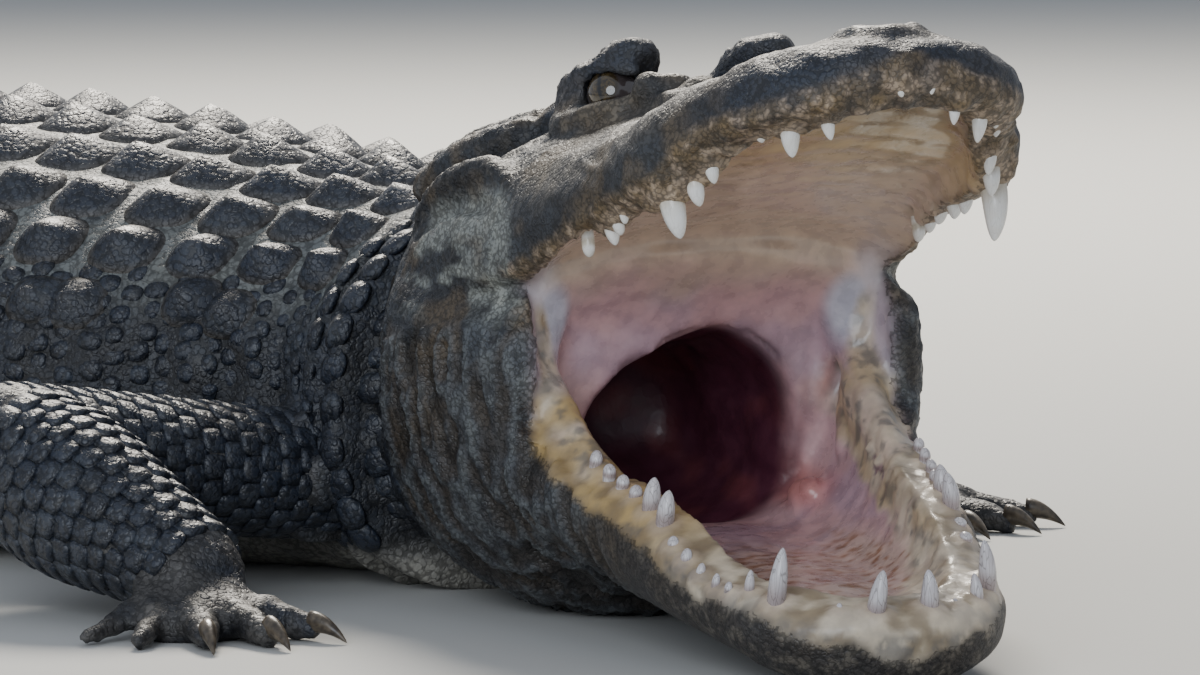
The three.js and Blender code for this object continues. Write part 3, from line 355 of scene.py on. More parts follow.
SPINE = Rows(
    "heading",
    (0, -32.3), (60, -24), (180, -4), (300, 1), (600, 2), (950, -2), (1250, -14), (1600, -24), (1950, -14),
    (2250, 8), (2540, 24),
)
TAIL_TIP = 2540.0
TRUNK = Rows(
    "half top mid floor flat",
    (0, 122, 222, 110, 8, 2.4), (30, 143, 222, 104, 0, 2.6), (60, 150, 220, 100, -3, 2.8),
    (95, 147, 216, 100, -4, 2.9), (135, 146, 213, 102, -4, 3), (180, 156, 214, 104, -4, 3),
    (240, 178, 219, 104, -4, 3.2), (310, 202, 227, 104, -4, 3.3), (410, 225, 236, 102, -4, 3.3),
    (530, 238, 242, 100, -4, 3.3), (650, 240, 244, 98, -4, 3.3), (780, 226, 240, 98, -4, 3.2),
    (900, 196, 230, 100, -4, 3), (1000, 160, 216, 98, -4, 2.8), (1090, 132, 202, 94, -4, 2.6),
    (1240, 110, 183, 84, -4, 2.5), (1440, 85, 154, 70, -4, 2.4), (1640, 63, 128, 56, -4, 2.3),
    (1840, 45, 103, 44, -4, 2.2), (2040, 31, 81, 34, -4, 2.2), (2240, 20, 59, 25, -4, 2.2),
    (2420, 11, 36, 15, -3, 2.2), (2510, 6, 22, 9, -3, 2), (2540, 2.5, 9, 5, -2, 2),
)
BACK_ROUNDNESS = 2.15
ROW_STEP = 46.0
FIRST_ROW = 139.0

ARMS = {
    "right": ((-150, -30, 56), (-236, -236, 82), (-108, -240, 32), (-86, -262, 15), -4),
    "left": ((-165, 150, 58), (-228, 340, 82), (-92, 350, 32), (-64, 366, 15), -4),
}
LEGS = {
    "right": ((0, 70, 104), (112, 262, 88), (-42, 300, 36), (16, 336, 15), 28),
    "left": ((0, 70, 104), (128, 252, 90), (-20, 306, 36), (40, 336, 15), 24),
}
HIP_AT = 930.0
UPPER_ARM = Rows("wide high", (0, 38, 33), (0.6, 39, 35), (1, 38, 37))
FOREARM = Rows("wide high", (0, 38, 40), (0.35, 42, 43), (0.75, 35, 33), (1, 31, 26))
PALM = Rows("wide high", (0, 27, 20), (1, 33, 15))
THIGH = Rows("wide high", (0, 72, 70), (0.5, 62, 58), (1, 42, 42))
SHANK = Rows("wide high", (0, 40, 42), (0.35, 42, 42), (0.8, 28, 28), (1, 26, 26))
SOLE = Rows("wide high", (0, 27, 24), (1, 38, 16))
FINGERS = ((-44, 46, 8.5, 18), (-20, 58, 9, 18), (0, 62, 9, 18), (22, 56, 7.5, 0), (46, 44, 6.5, 0))
TOES = ((-26, 78, 10, 24), (-8, 100, 10.5, 24), (9, 104, 10, 24), (28, 88, 8, 0))


# ---- meshes


def fetched(items: bpy.types.bpy_prop_collection, key: str, width: int = 1, kind: type = np.float32) -> Array:
    """Returns one property of all the items as a flat array."""
    flat = np.empty(len(items) * width, kind)
    items.foreach_get(key, flat)
    return flat


def as_object(name: str, bm: bmesh.types.BMesh) -> Object:
    """Makes an object of a bmesh, whose points are still in millimetres, and frees the bmesh."""
    mesh = bpy.data.meshes.new(name)
    bm.to_mesh(mesh)
    bm.free()
    made = bpy.data.objects.new(name, mesh)
    bpy.context.scene.collection.objects.link(made)
    return made


def sheet(along: int, around: int, points: Array, name: str) -> Object:
    """Draws a net of points as a closed body.

    Args:
        along: Steps along the form.
        around: Steps round it.
        points: An array of along + 1 by around + 1 points; the last round the form is the first again.
        name: The object's name.

    Returns:
        The object, with open ends closed.
    """
    bm = bmesh.new()
    bmesh.ops.create_grid(bm, x_segments=along, y_segments=around, size=1.0)
    for vert in bm.verts:
        vert.co = points[round((vert.co.x + 1) / 2 * along), round((vert.co.y + 1) / 2 * around)]
    bmesh.ops.remove_doubles(bm, verts=bm.verts[:], dist=1e-4)
    bmesh.ops.holes_fill(bm, edges=[edge for edge in bm.edges if edge.is_boundary], sides=0)
    bmesh.ops.recalc_face_normals(bm, faces=bm.faces[:])
    return as_object(name, bm)


def lofted(stations: Array, sides: int, form: Callable[[Array, Array], Array], name: str) -> Object:
    """Draws a tube over stations.

    Args:
        stations: Places along the form.
        sides: Steps round it.
        form: Gives points for arrays of stations and angles.
        name: The object's name.

    Returns:
        The closed tube.
    """
    angles = np.linspace(0, 2 * math.pi, sides + 1)
    s, a = np.meshgrid(np.asarray(stations, float), angles, indexing="ij")
    points = form(s.ravel(), a.ravel()).reshape(s.shape + (3,))
    points[:, -1] = points[:, 0]
    return sheet(len(stations) - 1, sides, points, name)


def egg(
    centre: Sequence[float], halves: Sequence[float], matrix: Array, turn: float = 0.0, lean: float = 0.0,
) -> Object:
    """Makes an egg shape, turned about z and leaned about its own y axis, in a frame."""
    bm = bmesh.new()
    local = Matrix.Translation(centre) @ Matrix.Rotation(math.radians(turn), 4, "Z")
    local = local @ Matrix.Rotation(math.radians(lean), 4, "Y") @ Matrix.Diagonal((*halves, 1))
    bmesh.ops.create_uvsphere(bm, u_segments=24, v_segments=14, radius=1, matrix=Matrix(matrix) @ local)
    return as_object("egg", bm)


def evaluated(made: Object) -> Object:
    """Applies an object's modifiers and returns the object."""
    graph = bpy.context.evaluated_depsgraph_get()
    graph.update()
    mesh = bpy.data.meshes.new_from_object(made.evaluated_get(graph))
    made.modifiers.clear()
    old = made.data
    made.data = mesh
    bpy.data.meshes.remove(old)
    return made


def combined(base: Object, tools: Sequence[Object], operation: Solver) -> Object:
    """Joins or cuts a body with others, which are removed."""
    for tool in tools:
        modifier = base.modifiers.new("combine", "BOOLEAN")
        modifier.solver = "MANIFOLD"
        modifier.operation = operation.value
        modifier.object = tool
    evaluated(base)
    for tool in tools:
        bpy.data.objects.remove(tool)
    return base


def remeshed(made: Object, voxel: float) -> Object:
    """Draws a body's skin again as even small faces."""
    modifier = made.modifiers.new("even", "REMESH")
    modifier.mode = "VOXEL"
    modifier.voxel_size = voxel
    modifier.use_smooth_shade = True
    return evaluated(made)


def points_of(made: Object) -> Array:
    """Returns the points of a mesh."""
    return fetched(made.data.vertices, "co", 3).reshape(-1, 3).astype(float)


def normals_of(made: Object) -> Array:
    """Returns the normals at the points of a mesh."""
    made.data.update()
    return fetched(made.data.vertex_normals, "vector", 3).reshape(-1, 3).astype(float)


def move(made: Object, points: Array) -> None:
    """Gives a mesh new points."""
    made.data.vertices.foreach_set("co", points.astype(np.float32).ravel())
    made.data.update()


def relaxed(made: Object, points: Array, share: Array, rounds: int) -> Array:
    """Evens a skin out.

    Args:
        made: The mesh whose edges join the points.
        points: Its points.
        share: How much of each step a point takes, from 0 to 1.
        rounds: How many steps.

    Returns:
        The new points.
    """
    a, b = fetched(made.data.edges, "vertices", 2, np.int32).reshape(-1, 2).T
    count = np.bincount(a, minlength=len(points)) + np.bincount(b, minlength=len(points))
    for _ in range(rounds):
        mean = np.empty_like(points)
        for k in range(3):
            total = np.bincount(a, points[b, k], len(points)) + np.bincount(b, points[a, k], len(points))
            mean[:, k] = total / np.maximum(count, 1)
        points = points + share[:, None] * (mean - points)
    return points


def finished(made: Object, name: str) -> Object:
    """Moves a mesh from millimetres into the part's frame and names it."""
    move(made, (points_of(made) + PLACE_IN_PART) * MM)
    made.name = made.data.name = name
    made.data.polygons.foreach_set("use_smooth", [True] * len(made.data.polygons))
    return made


def paint(made: Object, name: str, values: Array) -> None:
    """Stores a number or a colour at each point of a mesh."""
    kind = "FLOAT" if values.ndim == 1 else "FLOAT_COLOR"
    layer = made.data.attributes.new(name, kind, "POINT")
    if kind == "FLOAT":
        layer.data.foreach_set("value", values.astype(np.float32))
    else:
        whole = np.ones((len(values), 4), np.float32)
        whole[:, :3] = values
        layer.data.foreach_set("color", whole.ravel())


# ---- surfaces that carry scales


def girth_at(surface: "BodySurface | LimbSurface", s: float, turn: float) -> float:
    """Returns the millimetres that a radian of turn spans at one place."""
    return float(surface.girth(np.array([s], float), np.array([turn]))[0])


class BodySurface:
    """The skin of neck, trunk and tail, from the distance behind the head and a turn from the back's middle."""

    STEP = 5.0

    def __init__(self) -> None:
        """Walks the spine from the head's back plane to the tail's tip."""
        start = through(LEVEL, np.array([[HEAD_PLANE, 0.0, 0.0]]))[0, :2]
        middles = np.arange(0, TAIL_TIP + 40, self.STEP) + self.STEP / 2
        heading = np.radians(SPINE.read("heading", middles))
        steps = -self.STEP * columns(np.cos(heading), np.sin(heading))
        self.line = np.vstack([start, start + np.cumsum(steps, axis=0)])

    def spine(self, s: Array) -> tuple[Array, Array]:
        """Returns the spine's places and headings in radians at distances behind the head."""
        place = np.clip(s / self.STEP, 0, len(self.line) - 1.001)
        i = np.floor(place).astype(int)
        t = (place - i)[:, None]
        at = self.line[i] * (1 - t) + self.line[i + 1] * t
        heading = np.radians(SPINE.read("heading", s))
        before = np.minimum(s, 0.0)[:, None]
        return at - before * columns(np.cos(heading), np.sin(heading)), heading

    def ring(self, s: Array, angle: Array) -> Array:
        """Returns skin points at distances and angles, where angle 0 is the left side and a quarter turn the top."""
        mid = TRUNK.read("mid", s)
        half = TRUNK.read("half", s)
        up = TRUNK.read("top", s) - mid
        down = mid - TRUNK.read("floor", s)
        y, z = section(angle, half, up, down, BACK_ROUNDNESS, TRUNK.read("flat", s))
        at, heading = self.spine(s)
        x = at[:, 0] - np.sin(heading) * y
        return np.stack([x, at[:, 1] + np.cos(heading) * y, mid + z], axis=1)

    def point(self, s: Array, turn: Array, lift: Array | float) -> Array:
        """Returns points over the skin.

        Args:
            s: Distances behind the head.
            turn: Turns in radians from the back's middle to the animal's left.
            lift: Heights over the skin.
        """
        angle = math.pi / 2 - turn
        here = self.ring(s, angle)
        along = self.ring(s - 2.0, angle) - here
        aside = self.ring(s, angle - 0.02) - here
        out = np.cross(along, aside)
        out /= np.maximum(np.linalg.norm(out, axis=1), 1e-9)[:, None]
        return here + out * np.asarray(lift).reshape(-1, 1)

    def girth(self, s: Array, turn: Array) -> Array:
        """Returns the millimetres that a radian of turn spans."""
        angle = math.pi / 2 - turn
        return np.linalg.norm(self.ring(s, angle - 0.02) - self.ring(s, angle + 0.02), axis=1) / 0.04

    def chart(self, s: Array, turn: Array) -> Array:
        """Returns places on the skin's unwrap."""
        return columns(0.02 + 0.96 * s / TAIL_TIP, 0.5 + turn / (2 * math.pi) * 0.96)


class LimbSurface:
    """A limb length from one joint to the next; s is the distance from its root and the turn starts at its top."""

    def __init__(self, start: Sequence[float], end: Sequence[float], girths: Rows) -> None:
        """Sets the limb's frame.

        Args:
            start: The root joint.
            end: The far joint.
            girths: Half widths and heights from 0 at the root to 1 at the far joint.
        """
        self.start, self.end, self.girths = np.array(start, float), np.array(end, float), girths
        along = self.end - self.start
        self.length = float(np.linalg.norm(along))
        self.along = along / self.length
        across = np.array([-self.along[1], self.along[0], 0.0])
        self.across = across / np.linalg.norm(across)
        self.up = np.cross(self.along, self.across)

    def point(self, s: Array, turn: Array, lift: Array | float) -> Array:
        """Returns points over the limb's skin at distances and turns."""
        t = np.clip(s / self.length, 0, 1)
        wide, high = self.girths.read("wide", t), self.girths.read("high", t)
        ends = np.where(s < 0, self.girths.read("wide", 0.0), self.girths.read("wide", 1.0))
        over = np.where(s < 0, -s, np.maximum(0, s - self.length)) / ends
        shrink = np.sqrt(np.clip(1 - over * over * 0.99, 0, 1))
        lift = np.asarray(lift)
        y = (wide * shrink + lift) * np.sin(turn)
        z = (high * shrink + lift) * np.cos(turn)
        return self.start + s[:, None] * self.along + y[:, None] * self.across + z[:, None] * self.up

    def girth(self, s: Array, turn: Array) -> Array:
        """Returns the millimetres that a radian of turn spans."""
        t = np.clip(s / self.length, 0, 1)
        return (self.girths.read("wide", t) + self.girths.read("high", t)) / 2

    def chart(self, s: Array, turn: Array) -> Array:
        """Returns places on the skin's unwrap."""
        return columns(0.1 + 0.8 * s / self.length, 0.5 + turn / (2 * math.pi) * 0.9)

    def body(self, sides: int = 32) -> Object:
        """Makes the length as a closed round-ended body."""
        first, last = float(self.girths.read("wide", 0.0)), float(self.girths.read("wide", 1.0))
        curve = eased(7)
        stations = np.concatenate(
            [-first * curve[:0:-1], np.linspace(0, self.length, 18), self.length + last * curve[1:]]
        )
        return lofted(stations, sides, lambda s, a: self.point(s, a, 0.0), "limb")


@dataclass
class Plate:
    """A scute or scale before it is placed: a small closed body on a rounded square root, from -1 to 1."""

    steps: int = 6
    keel: float = 1.0
    crown: float = 0.25
    peak: float = -0.25
    sharp: float = 1.4
    square: float = 4.0
    lean: float = 0.0
    ramp: float = 0.0

    def height(self, x: float, y: float, reach: float) -> float:
        """Returns how high the plate stands at a place, where its reach is 1 all along its rim."""
        if self.ramp:
            rise = 1 - self.ramp + self.ramp * (x + 1) / 2
            return rise * (1 - 0.35 * abs(y) ** 4) * (0.78 if reach > 0.99 else 1.0)
        run = (x + 1) / (self.peak + 1) if x < self.peak else (1 - x) / (1 - self.peak)
        ridge = max(0.0, 1 - abs(y)) ** self.sharp * max(0.0, run) ** 1.2
        return self.crown * (1 - reach**2) + self.keel * (1 - self.crown) * ridge

    def template(self) -> tuple[Array, list[tuple[int, ...]]]:
        """Returns the plate's points, with z from -1 at its root's bottom to 1 at its top, and its faces."""
        bm = bmesh.new()
        bmesh.ops.create_grid(bm, x_segments=self.steps, y_segments=self.steps, size=1.0)
        for vert in bm.verts:
            x, y = vert.co.x, vert.co.y
            reach = max(abs(x), abs(y))
            round_reach = (abs(x) ** self.square + abs(y) ** self.square) ** (1 / self.square)
            pull = reach / round_reach if round_reach > 1e-6 else 1.0
            vert.co.x, vert.co.y = x * pull, y * pull
            vert.co.z = self.height(x, y, reach)
            vert.co.x -= self.lean * max(0.0, vert.co.z)
        rim = [edge for edge in bm.edges if edge.is_boundary]
        sunk = bmesh.ops.extrude_edge_only(bm, edges=rim)["geom"]
        for vert in (item for item in sunk if isinstance(item, bmesh.types.BMVert)):
            vert.co.z = -1.0
        bmesh.ops.holes_fill(bm, edges=[edge for edge in bm.edges if edge.is_boundary], sides=0)
        bmesh.ops.recalc_face_normals(bm, faces=bm.faces[:])
        bm.verts.index_update()
        points = np.array([vert.co[:] for vert in bm.verts])
        faces = [tuple(vert.index for vert in face.verts) for face in bm.faces]
        bm.free()
        return points, faces


@dataclass
class Coat:
    """Many plates placed on one surface, joined as one solid mesh."""

    name: str
    plates: list[tuple[Plate, Array]] = field(default_factory=list)
    patch: float = 0.0015

    def add(self, plate: Plate, rows: Path) -> None:
        """Adds places for one kind of plate.

        Args:
            plate: The kind.
            rows: Distance, turn in radians, half length, half width, height, sink, twist in radians.
        """
        if len(rows):
            self.plates.append((plate, np.array(rows, float)))

    def build(
        self, surface: "BodySurface | LimbSurface", limit: float | None = None,
        relief: Callable[[Array, Array, Array], Array] | None = None,
    ) -> Object:
        """Joins the plates.

        Args:
            surface: What they grow on.
            limit: The lowest level that any point may reach, or None.
            relief: Gives the skin's own folds at points, distances and turns in degrees, or None.

        Returns:
            The coat, with its heights stored as "rise", its plates' numbers as "grain" and the OFBake map.
        """
        everything, faces, rises, grains, charts = [], [], [], [], []
        start, number = 0, 0
        for plate, rows in self.plates:
            shape, shape_faces = plate.template()
            n, m = len(rows), len(shape)
            s, turn, long, wide, high, sink, twist = (rows[:, k : k + 1] for k in range(7))
            x, y, z = (shape[None, :, k] for k in range(3))
            forward = (x * np.cos(twist)) * long - (y * np.sin(twist)) * wide
            left = (x * np.sin(twist)) * long + (y * np.cos(twist)) * wide
            girth = surface.girth(s.ravel(), turn.ravel()).reshape(-1, 1)
            at = (s - forward if isinstance(surface, BodySurface) else s + forward).ravel()
            way = (turn + left / np.maximum(girth, 1.0)).ravel()
            lift = np.where(z < 0, -sink, z * high)
            if relief is not None:
                roots = surface.point(s.ravel(), turn.ravel(), 0.0)
                lift = lift + relief(roots, s.ravel(), np.degrees(turn.ravel()))[:, None]
            everything.append(surface.point(at, way, lift.ravel()))
            faces += [tuple(start + k * m + i for i in face) for k in range(n) for face in shape_faces]
            rises.append(np.broadcast_to(z, (n, m)).ravel())
            grain = hashed(np.arange(n) + number, np.zeros(n), np.zeros(n), 5)
            grains.append(np.repeat(grain, m))
            middle = surface.chart(s.ravel(), turn.ravel())
            spot = np.stack([np.broadcast_to(x, (n, m)), np.broadcast_to(y, (n, m))], axis=-1) * self.patch
            charts.append((middle[:, None, :] + spot).reshape(-1, 2))
            start += n * m
            number += n
        points = np.vstack(everything)
        if limit is not None:
            points[:, 2] = np.maximum(points[:, 2], limit)
        mesh = bpy.data.meshes.new(self.name)
        mesh.from_pydata(points, [], faces)
        made = bpy.data.objects.new(self.name, mesh)
        bpy.context.scene.collection.objects.link(made)
        chart = np.vstack(charts)
        corners = fetched(mesh.loops, "vertex_index", kind=np.int32)
        layer = mesh.uv_layers.new(name="OFBake")
        layer.uv.foreach_set("vector", chart[corners].astype(np.float32).ravel())
        paint(made, "rise", np.clip(np.concatenate(rises), 0, 1))
        paint(made, "grain", np.concatenate(grains))
        return made


# ---- colours

CHARCOAL = (0.020, 0.022, 0.027)
NAVY = (0.022, 0.031, 0.050)
SLATE = (0.075, 0.090, 0.110)
# Tan for real dust and speckles, and also painted sunlight on the snout's top and on the plates' tops and gaps.
TAN_DUST_AND_SUNLIGHT = (0.230, 0.200, 0.155)
BROWN_BLACK = (0.045, 0.036, 0.028)
# Pale grey of the stretched skin at the jaw's corner, and also a painted highlight on the back between the scutes and
# on the cheeks' crease crests.
PALE_SKIN_AND_HIGHLIGHT = (0.330, 0.350, 0.320)
CREAM = (0.700, 0.600, 0.450)
OCHRE = (0.480, 0.330, 0.130)
OLIVE_BROWN = (0.200, 0.140, 0.070)
BEIGE = (0.640, 0.500, 0.370)
PINK = (0.660, 0.420, 0.430)
LILAC = (0.500, 0.370, 0.480)
BLUE_WHITE = (0.640, 0.660, 0.760)
MAROON = (0.090, 0.022, 0.040)
BLUSH = (0.560, 0.150, 0.110)
RUST = (0.300, 0.120, 0.045)
BELLY = (0.420, 0.400, 0.340)
BLOTCH_SHADE = (0.72, 0.72, 0.75)
SPECK = (0.25, 0.24, 0.22)
TOOTH_CRACK = (0.12, 0.10, 0.09)
HORN_DARK = (0.035, 0.028, 0.022)
HORN_BROWN = (0.13, 0.105, 0.075)
IRIS_DARK = (0.02, 0.014, 0.008)
IRIS_GOLD = (0.08, 0.055, 0.022)
IRIS_RIM = (0.03, 0.02, 0.01)
EYE_WHITE = (0.05, 0.04, 0.04)
PUPIL = (0.002, 0.002, 0.003)
ENAMEL_WHITE, ENAMEL_WHITE_ROOT = (0.80, 0.80, 0.78), (0.60, 0.55, 0.45)
ENAMEL_GREY, ENAMEL_GREY_ROOT = (0.62, 0.60, 0.62), (0.36, 0.30, 0.30)
FLOOR_GREY = (0.52, 0.52, 0.50)
SKY = (0.78, 0.84, 0.95)


class Tint:
    """Colours at a mesh's points, mixed wash by wash."""

    def __init__(self, base: Colour, count: int) -> None:
        """Gives every point the base colour."""
        self.values = np.tile(np.array(base), (count, 1))

    def wash(self, colour: Sequence[float] | Array, share: Array) -> None:
        """Mixes the colours towards another by a share at each point."""
        self.values = self.values + (np.array(colour) - self.values) * np.clip(share, 0, 1)[:, None]


# ---- the head


@dataclass
class Spots:
    """The head skin's points in each of its frames, with the places of the mouth's forms among them."""

    points: Array

    def __post_init__(self) -> None:
        """Works out the frames' coordinates."""
        self.u = through(np.linalg.inv(UPPER), self.points)
        self.w = through(np.linalg.inv(LOWER), self.points)
        self.l = through(np.linalg.inv(LEVEL), self.points)
        self.lx, self.ly, self.lz = self.l.T
        self.wx, self.wy, self.wz = self.w.T
        self.reach = np.hypot(self.lx, self.lz)
        self.angle = np.degrees(np.arctan2(self.lz, self.lx))
        self.near = self.ly < 0

    def palate(self) -> Array:
        """Returns how far the points lie inside the palate's vault."""
        x, y, z = self.u.T
        half = PALATE.read("half", x)
        across = np.clip(np.abs(y / half), 0, 1)
        ceiling = PALATE.read("rise", x) * (1 - across**2.2) ** (1 / 2.2)
        depth = np.minimum(half - np.abs(y), ceiling - z)
        return np.where((z > -24) & (x > 60) & (x < 420), depth, -99.0)

    def floor(self) -> Array:
        """Returns how far the points lie inside the hollow of the lower jaw."""
        x, y, z = self.w.T
        half = MOUTH_FLOOR.read("half", x)
        across = np.clip(np.abs(y / half), 0, 1)
        ground = -MOUTH_FLOOR.read("depth", x) * (1 - across**2.6) ** (1 / 2.6)
        depth = np.minimum(half - np.abs(y), z - ground)
        return np.where((z < 24) & (x > GAPE_BACK - 6) & (x < 384), depth, -99.0)

    def gullet(self) -> Array:
        """Returns how far the points lie inside the way to the throat."""
        x, y, z = self.l.T
        y, z = y - GULLET_CENTRE[0], z - GULLET_CENTRE[1]
        depth = throat_edge(np.arctan2(z, y)) * GULLET.read("share", x) - np.hypot(y, z)
        return np.where((x < 118) & (x > -34), depth, -99.0)

    def wedge(self) -> Array:
        """Returns how far the points lie inside the open gape's rear part."""
        opening = np.minimum(UPPER_PITCH - self.angle, self.angle - LOWER_PITCH) * math.pi / 180 * self.reach
        sail = np.interp(self.lz, [z for _, z in SAIL], [x for x, _ in SAIL])
        depth = np.minimum(np.minimum(self.lx - sail, CAVITY_HALF - np.abs(self.ly)), opening + 2)
        return np.where(self.reach < 200, depth, -99.0)

    def from_line(self, path: Path) -> tuple[Array, Array]:
        """Measures the points against a line that runs on both sides of the head.

        Args:
            path: The line's points on the animal's left, in the level frame.

        Returns:
            The distance to the line, and how much further out than the line a point lies.
        """
        fine = Rows("x y z", *[(k, *at) for k, at in enumerate(path)])
        steps = np.linspace(0, len(path) - 1, 40)
        near, aside = np.full(len(self.l), 99.0), np.zeros(len(self.l))
        out = np.abs(self.ly)
        for x, y, z in zip(*(fine.read(k, steps) for k in "xyz")):
            away = np.sqrt((self.lx - x) ** 2 + (out - y) ** 2 + (self.lz - z) ** 2)
            aside = np.where(away < near, out - y, aside)
            near = np.minimum(near, away)
        return near, aside

    def rictus(self) -> Array:
        """Returns a mask of the smooth band round the mouth's corner."""
        near, aside = self.from_line(RICTUS)
        return smooth(near, 20, 13) * smooth(aside, -8, -2) * smooth(self.lz, 32, 14)

    def pad(self) -> Array:
        """Returns a mask of the smooth pale pad inside the mouth's corner."""
        away = columns(self.lx - 100, np.abs(self.ly) - 86, self.lz - 22) / (18, 15, 33)
        return smooth(np.linalg.norm(away, axis=1), 1.15, 0.7)

    def lining(self) -> Array:
        """Returns a mask of 1 on the mouth's lining and 0 on the hide."""
        depth = np.maximum.reduce([self.palate(), self.floor(), self.gullet(), self.wedge()])
        return smooth(depth, -3.2, -1.0)

    def lower_rim(self) -> Array:
        """Returns a mask of the gum on the lower jaw's edge, which reaches further down the mouth's inside."""
        x, _, z = self.w.T
        inside = smooth(self.floor(), -9, -3)
        outside = np.where(self.near, 15.0, 6.0) * smooth(x, 350, 300) + 11.0 * smooth(x, 300, 350)
        deep = inside * np.interp(x, [100, 180, 330, 380], [20, 27, 22, 12]) + (1 - inside) * outside
        below = JAW.read("rim", x) - z
        uneven = 3.5 * soft_noise(self.points, 14, 71, 3)
        wide = np.minimum(np.interp(x, [96, 130, 200, 260], [93, 99, 112, 140]) + uneven, 140)
        band = smooth(below - deep + uneven, 5, -3) * smooth(np.abs(self.wy) - wide, 5, -3)
        return band * smooth(x, 88, 106) * smooth(below, -15, -7)

    def collars(self) -> Array:
        """Returns a mask of the gum that stands up round each tooth."""
        mask = np.zeros(len(self.points))
        for rows, at in ((UPPER_TEETH, self.u), (LOWER_TEETH, self.w)):
            for name, side in SIDES.items():
                for x, y, z, _, wide in rows[name]:
                    away = np.linalg.norm((at - (x, side * y, z)) * (1, 1, 0.8), axis=1)
                    mask = np.maximum(mask, smooth(away, wide * 0.6 + 5.5, wide * 0.6))
        return mask

    def upper_rim(self) -> Array:
        """Returns a mask of the upper lips' lower edge."""
        x, _, z = self.u.T
        return smooth(z - SKULL.read("lip", x), 11, 4) * smooth(x, 118, 134) * smooth(self.angle, 4, 10)


